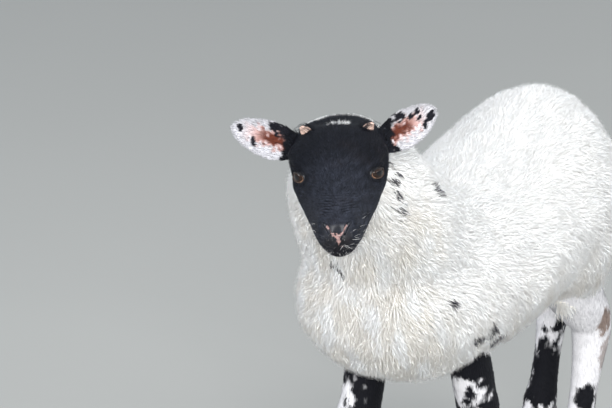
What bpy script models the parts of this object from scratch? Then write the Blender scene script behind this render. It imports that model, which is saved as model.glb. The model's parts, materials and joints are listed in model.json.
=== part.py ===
"""A black-faced hill lamb, some weeks old, standing still and looking round to its left.

Metres, +Z up. The lamb faces -Y, its left side is +X, and its soles stand on Z = 0. The whole
animal is modelled in one piece and then parted with thin cuts where its parts have names.
"""

import math

import bmesh
import bpy
import numpy as np
from mathutils import Matrix, Vector
from mathutils.bvhtree import BVHTree

SEED = 7
GAP = 0.0003  # between pieces that touch
SIDES = {"left": 1, "right": -1}

# Trunk, out to the tips of the wool: place along Y, half width, top, bottom.
TRUNK = (
    (-0.173, 0.042, 0.350, 0.266),
    (-0.152, 0.074, 0.374, 0.238),
    (-0.112, 0.090, 0.387, 0.219),
    (-0.060, 0.099, 0.394, 0.214),
    (0.000, 0.103, 0.399, 0.218),
    (0.060, 0.105, 0.408, 0.228),
    (0.120, 0.102, 0.425, 0.248),
    (0.162, 0.092, 0.434, 0.266),
    (0.198, 0.073, 0.419, 0.286),
    (0.223, 0.050, 0.386, 0.306),
)
TRUNK_WIDEST = 0.43  # height of the widest line between bottom and top
TRUNK_POWER = (1.75, 2.2)  # fullness above and below that line
BODY_GRAIN = 0.006
BODY_PASSES = 5
BODY_KEPT = 0.055  # share of the core's triangles that thinning keeps

# Neck, out to the tips: centre, half width, half height.
NECK = (
    (0.000, -0.020, 0.305, 0.085, 0.080),
    (0.000, -0.075, 0.325, 0.085, 0.078),
    (0.001, -0.110, 0.354, 0.082, 0.075),
    (0.002, -0.142, 0.390, 0.077, 0.066),
    (0.003, -0.167, 0.427, 0.065, 0.059),
    (0.005, -0.184, 0.454, 0.049, 0.047),
    (0.008, -0.196, 0.470, 0.033, 0.028),
)

# Tail, long and woolly, hanging clear of the hocks: centre, half width, half depth.
TAIL = (
    (0.000, 0.190, 0.374, 0.020, 0.020),
    (0.000, 0.222, 0.368, 0.024, 0.022),
    (0.002, 0.249, 0.336, 0.025, 0.022),
    (0.004, 0.257, 0.288, 0.024, 0.021),
    (0.007, 0.261, 0.244, 0.021, 0.019),
    (0.010, 0.264, 0.206, 0.015, 0.014),
    (0.012, 0.265, 0.186, 0.009, 0.009),
)
TAIL_CORE = 0.35  # its core's depth beside the rest

# Legs, from inside the trunk down to the coronet: Y from the leg's foot line, Z, half width,
# half depth. The share is how far the leg's own stride moves that height.
FORELEG = (
    (0.000, 0.290, 0.030, 0.036, 0.0),
    (0.000, 0.250, 0.027, 0.031, 0.2),
    (0.000, 0.220, 0.0220, 0.0250, 0.5),
    (0.000, 0.195, 0.0190, 0.0220, 0.7),
    (0.000, 0.174, 0.0190, 0.0215, 0.85),
    (-0.001, 0.158, 0.0200, 0.0220, 1.0),
    (0.000, 0.142, 0.0175, 0.0190, 1.0),
    (0.001, 0.120, 0.0138, 0.0152, 1.0),
    (0.001, 0.090, 0.0130, 0.0150, 1.0),
    (0.001, 0.068, 0.0143, 0.0168, 1.0),
    (0.000, 0.055, 0.0166, 0.0190, 1.0),
    (-0.003, 0.043, 0.0160, 0.0180, 1.0),
    (-0.008, 0.033, 0.0147, 0.0168, 1.0),
    (-0.012, 0.022, 0.0160, 0.0186, 1.0),
    (-0.014, 0.012, 0.0160, 0.0186, 1.0),
)
FORELEG_AT = {"left": (0.045, -0.052, 0.040), "right": (-0.042, -0.058, -0.034)}

HINDLEG = (
    (0.150, 0.338, 0.056, 0.070, 0.0),
    (0.142, 0.288, 0.054, 0.067, 0.1),
    (0.150, 0.248, 0.037, 0.046, 0.35),
    (0.172, 0.214, 0.0235, 0.0290, 0.75),
    (0.194, 0.188, 0.0190, 0.0245, 1.0),
    (0.198, 0.168, 0.0182, 0.0235, 1.0),
    (0.194, 0.145, 0.0158, 0.0185, 1.0),
    (0.187, 0.112, 0.0132, 0.0152, 1.0),
    (0.180, 0.078, 0.0138, 0.0160, 1.0),
    (0.174, 0.058, 0.0166, 0.0190, 1.0),
    (0.168, 0.045, 0.0158, 0.0178, 1.0),
    (0.161, 0.034, 0.0147, 0.0168, 1.0),
    (0.156, 0.022, 0.0160, 0.0186, 1.0),
    (0.154, 0.012, 0.0160, 0.0186, 1.0),
)
HINDLEG_AT = {"left": (0.046, 0.0, 0.005), "right": (-0.042, 0.0, 0.080)}

# Fleece: rounded clumps set close over a core, with their roots sunk in it.
CORE_DEPTH = 0.011  # from the tips of the wool in to the core
CLUMP_HALF = (0.037, 0.031, 0.0140)  # along the lie of the wool, across it, and high
CLUMP_SUNK = 0.0015
CLUMP_SIDES = 7
CLUMP_RINGS = 4
CLUMP_PITCH = 0.050  # between neighbours
CLUMP_PLACES = 5000  # places to choose from
CLUMP_TILT = math.radians(9)  # its far end stands out
CLUMP_YAW = math.radians(14)
CLUMP_VARIES = 0.14
CLUMP_LIE = Vector((0.0, 0.9, -0.5))
TAIL_CLUMPS = 0.56  # size beside the others
LEG_CLUMPS = 0.72
NECK_CLUMPS = 0.82
POLL_CLUMPS = 0.62
POLL_BACK = 0.075  # behind the eyes
WOOL_HEM = {"fore": 0.228, "hind": 0.240}  # lowest roots of the wool on the legs
WOOL_FADE = 0.045  # over this height the core draws in above the hem
WOOL_BEHIND = 0.050  # behind the eyes

# Feet: two claws side by side, with a cleft between them, under a slanted coronet.
CLAW_LONG = 0.033
CLAW_WIDE = 0.0145
CLAW_SIDES = 12
CLEFT = 0.0016
CLAW_WALL = ((0.0, 1.0, 0.0), (0.010, 0.97, 0.25), (0.034, 0.84, 1.0))  # height, size, lean
CLAW_LEAN = 0.011  # how far its wall leans back at the top
CLAW_TAPER = 0.28  # how much narrower its toe is
TOE_AHEAD = 0.013  # how far the sole lies ahead of the coronet
CORONET_HEIGHT = 0.020  # at the middle of the foot
CORONET_SLANT = math.radians(17)
DEWCLAW_HEIGHT = 0.044
DEWCLAW_RADII = (0.0042, 0.0050, 0.0065)
DEWCLAW_OUT = 0.0085
DEWCLAW_LEAN = math.radians(20)
DEWCLAW_ROOM = (0.0062, 0.0065, 0.010)
FETLOCK_HEIGHT = 0.05

# Head, in its own frame: X to its left, -Y ahead, Z up, origin midway between the eyes.
HEAD_AT = Vector((0.0298, -0.2332, 0.4598))
HEAD_TURN = math.radians(33.5)
HEAD_DROP = math.radians(27)
HEAD_TILT = math.radians(-5)
# Ahead of the eyes, half width, top, bottom, height of the widest line, fullness above, below.
HEAD = (
    (-0.064, 0.024, 0.006, -0.028, -0.010, 2.0, 2.0),
    (-0.053, 0.034, 0.018, -0.038, -0.008, 2.1, 2.0),
    (-0.036, 0.0400, 0.0254, -0.045, -0.004, 2.2, 2.0),
    (-0.016, 0.0420, 0.0274, -0.0465, -0.001, 2.3, 2.0),
    (0.001, 0.0402, 0.0263, -0.0462, -0.005, 2.25, 2.0),
    (0.017, 0.0364, 0.0225, -0.0450, -0.013, 2.0, 2.0),
    (0.031, 0.0324, 0.0196, -0.0425, -0.017, 1.85, 2.05),
    (0.045, 0.0268, 0.0175, -0.0398, -0.018, 1.9, 2.1),
    (0.058, 0.0226, 0.0140, -0.0372, -0.017, 2.1, 2.2),
    (0.068, 0.0188, 0.0086, -0.0345, -0.0155, 2.2, 2.2),
    (0.0755, 0.0146, 0.0012, -0.0308, -0.0145, 2.1, 2.1),
    (0.0797, 0.0100, -0.0045, -0.0262, -0.0150, 2.0, 2.0),
    (0.0820, 0.0048, -0.0095, -0.0205, -0.0150, 2.0, 2.0),
)
# Swellings and hollows on each side: where, how wide, how far each pushes the surface.
HEAD_FORMS = (
    ((0.040, 0.004, 0.012), (0.010, 0.014, 0.007), (0.0038, 0.0, 0.0024)),  # brow
    ((0.041, -0.003, 0.001), (0.009, 0.011, 0.008), (-0.0042, 0.0, 0.0)),  # socket
    ((0.043, 0.012, 0.000), (0.008, 0.008, 0.012), (0.0026, 0.0, 0.0)),  # rear of the socket
    ((0.038, -0.004, -0.014), (0.009, 0.018, 0.007), (0.0020, 0.0, 0.0)),  # cheekbone
    ((0.036, -0.019, 0.002), (0.009, 0.011, 0.009), (-0.0028, 0.0, 0.0)),  # before the eye
    ((0.037, 0.010, -0.027), (0.012, 0.022, 0.014), (0.0028, 0.0, 0.0)),  # jaw muscle
    ((0.030, -0.028, -0.034), (0.010, 0.014, 0.009), (-0.0026, 0.0, 0.0015)),  # before it
    ((0.0125, -0.067, 0.003), (0.006, 0.007, 0.006), (0.0020, -0.0010, 0.0006)),  # nostril wing
    ((0.010, -0.074, -0.009), (0.008, 0.008, 0.005), (0.0014, -0.0014, 0.0)),  # upper lip
    ((0.000, -0.080, -0.003), (0.003, 0.008, 0.008), (0.0, 0.0014, 0.0)),  # between nostrils
    ((0.006, -0.070, -0.032), (0.010, 0.010, 0.005), (0.0, -0.0016, -0.0008)),  # chin
    ((0.014, 0.047, 0.020), (0.020, 0.017, 0.016), (0.0, -0.0030, -0.0042)),  # flat top of the poll
)
HEAD_SIDES = 56
HEAD_RINGS = 54
HEAD_KEPT = 0.225  # share of the head's triangles that thinning keeps

EYE_RADIUS = 0.0115
EYE_CENTRE = (0.0280, -0.0035, -0.0006)
EYE_LOOKS = Vector((0.79, -0.54, 0.29)).normalized()
LID_HALF = (0.0075, 0.0043)
LID_THICK = 0.0015
LID_SPREAD = 1.6  # how much wider than thick the lid is
LID_STEPS = 14
LID_SIDES = 6
EYE_SLOPE = 0.56  # how far the opening rises towards the nose

# The line of the mouth: a groove round the muzzle that rises towards its corners.
MOUTH_HEIGHT = -0.0150
MOUTH_WIDE = 0.0010
MOUTH_DEEP = 0.0024
MOUTH_BACK = 0.044
MOUTH_LEVEL = 0.070  # it is level ahead of here
MOUTH_RISE = 0.0024
MOUTH_STEPS = 12
MOUTH_ROOM = 0.006

# Nostrils: a curved channel on each side of the nose: X, Z, half width, half depth.
NOSTRIL = (
    (0.0062, -0.0034, 0.0009, 0.0012),
    (0.0074, -0.0003, 0.0019, 0.0022),
    (0.0092, 0.0027, 0.0023, 0.0026),
    (0.0116, 0.0044, 0.0019, 0.0022),
    (0.0132, 0.0044, 0.0009, 0.0012),
)
NOSTRIL_RINGS = 9
NOSTRIL_SIDES = 8

BUD_AT = (0.0275, 0.032, 0.0175)
BUD_LEAN = math.radians(40)
BUD_RADII = (0.0056, 0.0044, 0.0088)

# Ears: a cupped leaf from a rolled root, held out level and open ahead.
EAR_ROOT = (0.0345, 0.033, -0.0030)
EAR_LONG = 0.066
EAR_HALF = 0.0172
EAR_ROOT_SHARE = 0.60  # its width at the root beside its widest
EAR_WIDEST = 0.45
EAR_POINT = 3.2  # higher is blunter
EAR_ROUND = 0.62
EAR_FLATTENS = 0.58  # how much of its cup and thickness it loses by its tip
EAR_RIM = 0.0005
EAR_CUP = 0.0095
EAR_DROOP = 0.010
EAR_THICK = 0.0034
EAR_STEPS = (12, 7)
EAR_END = 0.98  # just short of where its two skins meet
EAR_RISE = {"left": math.radians(-2), "right": math.radians(10)}
EAR_BACK = {"left": math.radians(40), "right": math.radians(14)}
EAR_FACE = math.radians(-38)  # how far the cup is rolled to face up
EAR_CUT = 0.23  # where along it the ear is parted from the head
EAR_CUT_FACES = (1.0, 0.20, 0.25)
EAR_ROOM = 0.034
EAR_BEYOND = 0.006

# Cuts between the named parts.
NECK_CUT = (Vector((0.0, -0.098, 0.366)), Vector((0.02, -0.80, 0.60)))
TAIL_CUT = (Vector((0.0, 0.2400, 0.30)), Vector((0.0, 1.0, -0.06)))
TAIL_ROOM = (Vector((0.012, 0.30, 0.27)), (0.034, 0.10, 0.20))
FORELEG_CUT = 0.2125
FORELEG_ROOM = (0.047, 0.10, 0.13)
HINDLEG_MIDDLE = 0.25
HINDLEG_ROOM = (0.10, 0.185, 0.25)
THIGH_CUT = (Vector((0.0, 0.100, 0.264)), Vector((0.0, 0.62, -0.78)))
KNEE_CUT = 0.158
SHANK_CUT = (Vector((0.0, 0.163, 0.228)), Vector((0.0, 0.30, -0.95)))
HOCK_CUT = 0.160
FAR = 0.6  # side of the block that stands for all beyond a cut
CREASE = math.radians(38)
WOOL_CREASE = math.radians(75)

COLOURS = {
    "wool": ((0.87, 0.84, 0.79), 0.95),
    "face": ((0.017, 0.018, 0.024), 0.75),
    "leg": ((0.055, 0.052, 0.054), 0.85),
    "ear": ((0.62, 0.50, 0.45), 0.85),
    "eye": ((0.035, 0.014, 0.008), 0.08),
    "bud": ((0.50, 0.39, 0.34), 0.6),
    "claw": ((0.035, 0.030, 0.028), 0.45),
}


def clear_scene():
    for found in list(bpy.data.objects):
        bpy.data.objects.remove(found, do_unlink=True)


def through(stations, count):
    """Rows read evenly along a smooth curve through the stations."""
    rows = np.array(stations, float)
    padded = np.vstack((2 * rows[0] - rows[1], rows, 2 * rows[-1] - rows[-2]))
    places = np.linspace(0, len(rows) - 1, count)
    found = []
    for place in places:
        first = min(int(place), len(rows) - 2)
        t = place - first
        a, b, c, d = padded[first : first + 4]
        found.append(
            0.5 * (2 * b + (c - a) * t + (2 * a - 5 * b + 4 * c - d) * t**2)
            + 0.5 * (3 * b - a - 3 * c + d) * t**3
        )
    return np.array(found)


def mesh_object(name, points, faces):
    mesh = bpy.data.meshes.new(name)
    mesh.from_pydata([tuple(point) for point in points], [], faces)
    shape = bmesh.new()
    shape.from_mesh(mesh)
    bmesh.ops.recalc_face_normals(shape, faces=shape.faces)
    shape.to_mesh(mesh)
    shape.free()
    made = bpy.data.objects.new(name, mesh)
    bpy.context.scene.collection.objects.link(made)
    return made


def loft(name, rings):
    """A closed body through rings of points, with a fan over each end."""
    rings = np.asarray(rings)
    count, sides = rings.shape[:2]
    points = np.vstack((rings.reshape(-1, 3), rings[0].mean(axis=0), rings[-1].mean(axis=0)))
    first_end, last_end = count * sides, count * sides + 1
    faces = []
    for side in range(sides):
        after = (side + 1) % sides
        for ring in range(count - 1):
            near, far = ring * sides, (ring + 1) * sides
            faces.append((near + side, near + after, far + after, far + side))
        faces.append((first_end, after, side))
        last = (count - 1) * sides
        faces.append((last_end, last + side, last + after))
    return mesh_object(name, points, faces)


def rounded(angle, power):
    """Cosine and sine of a circle made fuller by the power."""
    return [math.copysign(abs(f(angle)) ** (2 / power), f(angle)) for f in (math.cos, math.sin)]


def oval(centre, side, up, wide, high, low, powers, sides):
    """A ring of points, each half with its own fullness."""
    points = []
    for step in range(sides):
        angle = 2 * math.pi * step / sides
        upper = math.sin(angle) > 0
        across, rise = rounded(angle, powers[0] if upper else powers[1])
        points.append(centre + side * across * wide + up * rise * (high if upper else low))
    return points


def trunk(inset, rings=30, sides=32):
    found = []
    for y, wide, top, bottom in through(TRUNK, rings):
        middle = bottom + TRUNK_WIDEST * (top - bottom)
        centre = Vector((0, y, middle))
        found.append(
            oval(
                centre, Vector((1, 0, 0)), Vector((0, 0, 1)),
                max(wide - inset, 0.01), top - middle - inset, middle - bottom - inset,
                TRUNK_POWER, sides,
            )
        )
    return loft("trunk", found)


def limb(name, stations, inset=0.0, rings=22, sides=12, powers=(2.1, 2.1)):
    """A body along a path of centres, each with its half width and half depth."""
    rows = through(stations, rings)
    found = []
    for index, (x, y, z, wide, deep) in enumerate(rows):
        before, after = rows[max(index - 1, 0)], rows[min(index + 1, rings - 1)]
        along = Vector(after[:3] - before[:3]).normalized()
        up = Vector((1, 0, 0)).cross(along).normalized()
        side = along.cross(up).normalized()
        wide, deep = wide - inset, deep - inset
        found.append(oval(Vector((x, y, z)), side, up, wide, deep, deep, powers, sides))
    return loft(name, found)


def leg_path(stations, place, hem, depth):
    """The leg's centres and half widths, drawn in to the core where it carries wool."""
    x, y, stride = place
    rows = []
    for back, height, wide, deep, share in stations:
        inset = depth * min(max((height - hem + WOOL_FADE / 2) / WOOL_FADE, 0), 1)
        rows.append((x, y + back + stride * share, height, wide - inset, deep - inset))
    return rows


def apply_modifiers(body):
    graph = bpy.context.evaluated_depsgraph_get()
    mesh = bpy.data.meshes.new_from_object(body.evaluated_get(graph))
    body.modifiers.clear()
    body.data = mesh


def boolean(body, other, operation, solver="MANIFOLD"):
    modifier = body.modifiers.new("Boolean", "BOOLEAN")
    modifier.operation = operation
    modifier.solver = solver
    modifier.object = other
    apply_modifiers(body)


def grown(body, by):
    """A copy of a body with its surface moved out."""
    mesh = body.data.copy()
    places = [vertex.co + vertex.normal * by for vertex in mesh.vertices]
    for vertex, place in zip(mesh.vertices, places):
        vertex.co = place
    made = bpy.data.objects.new(body.name + " room", mesh)
    bpy.context.scene.collection.objects.link(made)
    return made


def fuse(body, others, solver="EXACT"):
    """Joins the others to the body in one union and removes them."""
    group = bpy.data.collections.new("Pieces")
    bpy.context.scene.collection.children.link(group)
    for other in others:
        for home in other.users_collection:
            home.objects.unlink(other)
        group.objects.link(other)
    modifier = body.modifiers.new("Union", "BOOLEAN")
    modifier.operation = "UNION"
    modifier.solver = solver
    modifier.operand_type = "COLLECTION"
    modifier.collection = group
    apply_modifiers(body)
    for other in others:
        bpy.data.objects.remove(other)
    bpy.data.collections.remove(group)
    return body


def soften(body, grain, passes, kept):
    """Melts the joins of a fused body and thins its mesh."""
    remesh = body.modifiers.new("Remesh", "REMESH")
    remesh.mode = "VOXEL"
    remesh.voxel_size = grain
    smooth = body.modifiers.new("Smooth", "SMOOTH")
    smooth.factor = 0.5
    smooth.iterations = passes
    apply_modifiers(body)
    thin = body.modifiers.new("Thin", "DECIMATE")
    thin.ratio = kept
    apply_modifiers(body)
    return body


def islands_of(shape):
    """Sets of joined vertices."""
    left, found = set(shape.verts), []
    while left:
        seen, edge = set(), [next(iter(left))]
        while edge:
            vertex = edge.pop()
            if vertex in seen:
                continue
            seen.add(vertex)
            edge += [link.other_vert(vertex) for link in vertex.link_edges]
        left -= seen
        found.append(seen)
    return found


def keep_largest(body):
    shape = bmesh.new()
    shape.from_mesh(body.data)
    sets = islands_of(shape)

    def reach(vertices):
        places = np.array([vertex.co for vertex in vertices])
        return np.prod(np.ptp(places, axis=0))

    largest = max(sets, key=reach)
    loose = [vertex for vertex in shape.verts if vertex not in largest]
    bmesh.ops.delete(shape, geom=loose, context="VERTS")
    bmesh.ops.dissolve_degenerate(shape, dist=1e-6, edges=shape.edges)
    shape.to_mesh(body.data)
    shape.free()


def block(name, centre, turn, half):
    """A box with the given half sides, turned and placed."""
    bpy.ops.mesh.primitive_cube_add(size=2)
    made = bpy.context.active_object
    made.name = name
    shift = Matrix.Translation(centre) @ turn.to_4x4() @ Matrix.Diagonal((*half, 1))
    made.data.transform(shift)
    return made


def beyond(point, normal, gap, room=FAR):
    """A block that fills all on the normal's side of a plane, out to the room across."""
    turn = normal.to_track_quat("Z", "Y").to_matrix()
    middle = point + normal.normalized() * (gap + FAR)
    return block("cutter", middle, turn, (room, room, FAR))


def part_off(whole, name, cutters):
    """Takes from the whole what lies in all of the cutters, and leaves a thin gap round it.

    Each cutter comes as a function of the gap that gives its block."""
    piece = bpy.data.objects.new(name, whole.data.copy())
    bpy.context.scene.collection.objects.link(piece)
    region = None
    for cutter in cutters:
        near = cutter(GAP / 2)
        boolean(piece, near, "INTERSECT", "MANIFOLD")
        bpy.data.objects.remove(near)
        wide = cutter(-GAP / 2)
        if region is None:
            region = wide
            continue
        boolean(region, wide, "INTERSECT", "MANIFOLD")
        bpy.data.objects.remove(wide)
    boolean(whole, region, "DIFFERENCE", "MANIFOLD")
    bpy.data.objects.remove(region)
    keep_largest(piece)
    keep_largest(whole)
    return piece


def half_space(point, normal, room=FAR):
    return lambda gap: beyond(point, normal.normalized(), gap, room)


def room(centre, turn, half):
    """A block that shrinks by the gap on every side."""
    return lambda gap: block("cutter", centre, turn, [side - gap for side in half])


def head_turn():
    return (
        Matrix.Rotation(HEAD_TURN, 3, "Z")
        @ Matrix.Rotation(HEAD_DROP, 3, "X")
        @ Matrix.Rotation(HEAD_TILT, 3, "Y")
    )


def head_frame():
    return Matrix.Translation(HEAD_AT) @ head_turn().to_4x4()


def shaped(points):
    """The head's swellings and hollows on a set of its points, on both sides."""
    points = np.array(points, float)
    moved = points.copy()
    for centre, radii, push in HEAD_FORMS:
        for side in SIDES.values():
            flip = np.array((side, 1, 1))
            near = np.exp(-(((points - flip * centre) / radii) ** 2).sum(axis=-1))
            moved += near[..., None] * flip * push
    return moved


def head_rings(rings, sides):
    found = []
    for ahead, wide, top, bottom, widest, above, below in through(HEAD, rings):
        ring = []
        for step in range(sides):
            angle = 2 * math.pi * step / sides
            upper = math.sin(angle) > 0
            across, rise = rounded(angle, above if upper else below)
            high = top - widest if upper else widest - bottom
            ring.append((across * wide, -ahead, widest + rise * high))
        found.append(ring)
    return shaped(found)


def ball(name, centre, radii, turn, segments=14, rings=8):
    bpy.ops.mesh.primitive_uv_sphere_add(segments=segments, ring_count=rings, radius=1)
    made = bpy.context.active_object
    made.name = name
    shift = Matrix.Translation(centre) @ turn.to_4x4() @ Matrix.Diagonal((*radii, 1))
    made.data.transform(shift)
    return made


def mirrored(place, side):
    return Vector((place[0] * side, place[1], place[2]))


def eye_turn(side):
    """Turns Z to where the eye looks, with X along the opening."""
    looks = mirrored(EYE_LOOKS, side)
    along = Vector((0, -1, EYE_SLOPE))
    along = (along - looks * along.dot(looks)).normalized()
    return Matrix((along, looks.cross(along), looks)).transposed()


def lids(side):
    """A padded ring round the opening, lying on the ball of the eye."""
    turn, centre = eye_turn(side), mirrored(EYE_CENTRE, side)
    rings = []
    for step in range(LID_STEPS):
        angle = 2 * math.pi * step / LID_STEPS
        long = math.cos(angle) * (LID_HALF[0] + LID_THICK * 0.6)
        tall = math.sin(angle) * (LID_HALF[1] + LID_THICK * 0.6)
        out = math.sqrt(EYE_RADIUS**2 - long**2 - tall**2)
        spine = turn @ Vector((long, tall, out))
        away = spine.normalized()
        outward = turn @ Vector((long, tall, 0)).normalized()
        ring = []
        for turned in range(LID_SIDES):
            part = 2 * math.pi * turned / LID_SIDES
            step_out = outward * math.cos(part) * LID_SPREAD + away * math.sin(part)
            ring.append(centre + spine + step_out * LID_THICK)
        rings.append(ring)
    return torus("lids", np.array(rings))


def torus(name, rings):
    count, sides = rings.shape[:2]
    faces = []
    for ring in range(count):
        near, far = ring * sides, (ring + 1) % count * sides
        for side in range(sides):
            after = (side + 1) % sides
            faces.append((near + side, near + after, far + after, far + side))
    return mesh_object(name, rings.reshape(-1, 3), faces)


def mouth_cutter():
    """A thin bent plate round the muzzle whose inner edge is the floor of the mouth's line."""
    rows = through(HEAD, HEAD_RINGS)
    ahead = np.linspace(MOUTH_BACK, HEAD[-1][0] - MOUTH_WIDE, MOUTH_STEPS)
    half = np.interp(ahead, rows[:, 0], rows[:, 1])
    inner = [(x - MOUTH_DEEP, -y) for x, y in zip(half, ahead)]
    outer = [(x + MOUTH_ROOM, -y - MOUTH_ROOM * (y > MOUTH_LEVEL)) for x, y in zip(half, ahead)]
    edge = inner + [(-x, y) for x, y in reversed(inner)]
    rim = outer + [(-x, y) for x, y in reversed(outer)]
    count = len(edge)
    points, faces = [], []
    for height in (-MOUTH_WIDE, MOUTH_WIDE):
        for x, y in edge + rim:
            back = max(0.0, (MOUTH_LEVEL + y) / (MOUTH_LEVEL - MOUTH_BACK))
            points.append((x, y, MOUTH_HEIGHT + MOUTH_RISE * back**2 + height))
    top = 2 * count
    for step in range(count - 1):
        a, b, c, d = step, step + 1, count + step + 1, count + step
        faces += [(a, b, c, d), (top + d, top + c, top + b, top + a)]
        faces += [(b, a, top + a, top + b), (d, c, top + c, top + d)]
    for a, d in ((0, count), (count - 1, 2 * count - 1)):
        faces.append((a, d, top + d, top + a))
    return mesh_object("mouth", points, faces)


def ear_frame(name, side):
    """Turns X along the ear, from root to tip, with -Y out of the open cup."""
    turn = Matrix.Rotation(EAR_FACE, 3, "X") @ Matrix.Rotation(-EAR_RISE[name], 3, "Y")
    turn = Matrix.Rotation(EAR_BACK[name], 3, "Z") @ turn
    mirror = Matrix.Diagonal((side, 1, 1))
    return Matrix.Translation(mirrored(EAR_ROOT, side)) @ (mirror @ turn).to_4x4()


def ear(name, side):
    """A leaf of two skins: widest near its middle, cupped, and thin towards its rim."""
    long_steps, wide_steps = EAR_STEPS
    front, back = [], []
    for step in np.linspace(0, EAR_END, long_steps):
        along = 1 - (1 - step) ** 1.5
        swell = math.sin(min(along / EAR_WIDEST, 1) * math.pi / 2)
        leaf = EAR_HALF * (EAR_ROOT_SHARE + (1 - EAR_ROOT_SHARE) * swell)
        leaf *= (1 - along**EAR_POINT) ** EAR_ROUND
        curl = EAR_CUP * (1 - EAR_FLATTENS * along)
        thick = EAR_THICK * (1 - EAR_FLATTENS * along)
        for across in np.linspace(-1, 1, wide_steps):
            x = EAR_LONG * along
            y = -curl * (across**2 - 0.4) * leaf / EAR_HALF - EAR_DROOP * along * (1 - along)
            front.append((x, y, leaf * across))
            back.append((x, y + EAR_RIM + thick * (1 - across**2), leaf * across))
    total, faces = long_steps * wide_steps, []
    for row in range(long_steps - 1):
        for column in range(wide_steps - 1):
            a = row * wide_steps + column
            quad = (a, a + 1, a + 1 + wide_steps, a + wide_steps)
            faces += [quad, tuple(total + corner for corner in reversed(quad))]
    rim = [column for column in range(wide_steps)]
    rim += [row * wide_steps + wide_steps - 1 for row in range(1, long_steps)]
    rim += [(long_steps - 1) * wide_steps + column for column in range(wide_steps - 2, -1, -1)]
    rim += [row * wide_steps for row in range(long_steps - 2, 0, -1)]
    for near, far in zip(rim, rim[1:] + rim[:1]):
        faces.append((near, far, total + far, total + near))
    frame = ear_frame(name, side)
    places = [frame @ Vector(place) for place in front + back]
    return mesh_object("ear", places, faces)


def front_of(surface, x, z):
    """Where the front of a surface lies along Y."""
    return surface.ray_cast(Vector((x, -FAR, z)), Vector((0, 1, 0)))[0].y


def carve(body, cutters):
    """Cuts each cutter from the body and removes it."""
    for cutter in cutters:
        boolean(body, cutter, "DIFFERENCE")
        bpy.data.objects.remove(cutter)


def make_head(nodes):
    """The head with its ears, buds, lids, nostrils and mouth, parted and set in its place.

    Returns the rooms that the bare head and the ears take in the wool."""
    head = loft("head", head_rings(HEAD_RINGS, HEAD_SIDES))
    thin = head.modifiers.new("Thin", "DECIMATE")
    thin.ratio = HEAD_KEPT
    apply_modifiers(head)
    surface = BVHTree.FromPolygons(
        [vertex.co for vertex in head.data.vertices],
        [polygon.vertices for polygon in head.data.polygons],
    )
    ears = [ear(name, side) for name, side in SIDES.items()]
    rooms = [grown(head, 1.5 * GAP)] + [grown(piece, 2 * GAP) for piece in ears]
    for piece in [lids(side) for side in SIDES.values()] + ears:
        boolean(head, piece, "UNION")
        bpy.data.objects.remove(piece)
    straight = Matrix.Identity(3)
    cutters = [mouth_cutter()]
    for name, side in SIDES.items():
        eye_at, bud_at = mirrored(EYE_CENTRE, side), mirrored(BUD_AT, side)
        lean = Matrix.Rotation(side * BUD_LEAN, 3, "Y")
        nodes["eye_" + name] = ball("eye", eye_at, [EYE_RADIUS] * 3, straight)
        nodes["horn_bud_" + name] = ball("bud", bud_at, BUD_RADII, lean, 12, 6)
        cutters.append(ball("socket", eye_at, [EYE_RADIUS + GAP] * 3, straight))
        cutters.append(ball("seat", bud_at, [radius + GAP for radius in BUD_RADII], lean, 12, 6))
        channel = [(x * side, front_of(surface, x, z), z, *half) for x, z, *half in NOSTRIL]
        cutters.append(limb("nostril", channel, 0.0, NOSTRIL_RINGS, NOSTRIL_SIDES))
    carve(head, cutters)
    for name, side in SIDES.items():
        middle = ear_frame(name, side) @ Vector((EAR_LONG * (EAR_CUT + 1) / 2, 0, 0))
        turn = mirrored(EAR_CUT_FACES, side).to_track_quat("X", "Z").to_matrix()
        middle += turn @ Vector((EAR_BEYOND, 0, 0))
        reach = (EAR_LONG * (1 - EAR_CUT) / 2 + EAR_BEYOND, EAR_ROOM, EAR_ROOM)
        nodes["ear_" + name] = part_off(head, "ear_" + name, [room(middle, turn, reach)])
    nodes["head"] = head
    for made in (*nodes.values(), *rooms):
        made.data.transform(head_frame())
    return rooms


def claw(name, x, y, inner_side):
    """One claw: its wall leans ahead from a flat sole to the coronet."""
    rings = []
    for height, share, lean in CLAW_WALL:
        ring = []
        for step in range(CLAW_SIDES):
            angle = 2 * math.pi * step / CLAW_SIDES
            across, along = rounded(angle, 2.5)
            wide = CLAW_WIDE / 2 * share
            taper = 1 - CLAW_TAPER * max(0.0, -along)
            aside = x + inner_side * (wide - CLAW_WIDE / 2) + across * wide * taper
            back = y - TOE_AHEAD + lean * CLAW_LEAN + along * CLAW_LONG / 2 * share
            ring.append((aside, back, height))
        rings.append(ring)
    return loft(name, rings)


def make_foot(nodes, leg, end, name, place):
    """Claws and dewclaws of one foot, parted from its leg. The place is the coronet's middle."""
    x, y = place
    normal = Matrix.Rotation(CORONET_SLANT, 3, "X") @ Vector((0, 0, -1))
    coronet = Vector((x, y, CORONET_HEIGHT))
    cutter = beyond(coronet, normal, -GAP / 2)
    boolean(leg, cutter, "DIFFERENCE")
    bpy.data.objects.remove(cutter)
    for which, inner_side in (("inner", -1), ("outer", 1)):
        away = inner_side * (1 if x > 0 else -1)
        made_name = f"{end}_claw_{name}_{which}"
        offset = away * (CLAW_WIDE + CLEFT) / 2
        made = claw(made_name, x + offset, y, -away)
        cutter = beyond(coronet, -normal, -GAP / 2)
        boolean(made, cutter, "DIFFERENCE")
        bpy.data.objects.remove(cutter)
        nodes[made_name] = made


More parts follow.
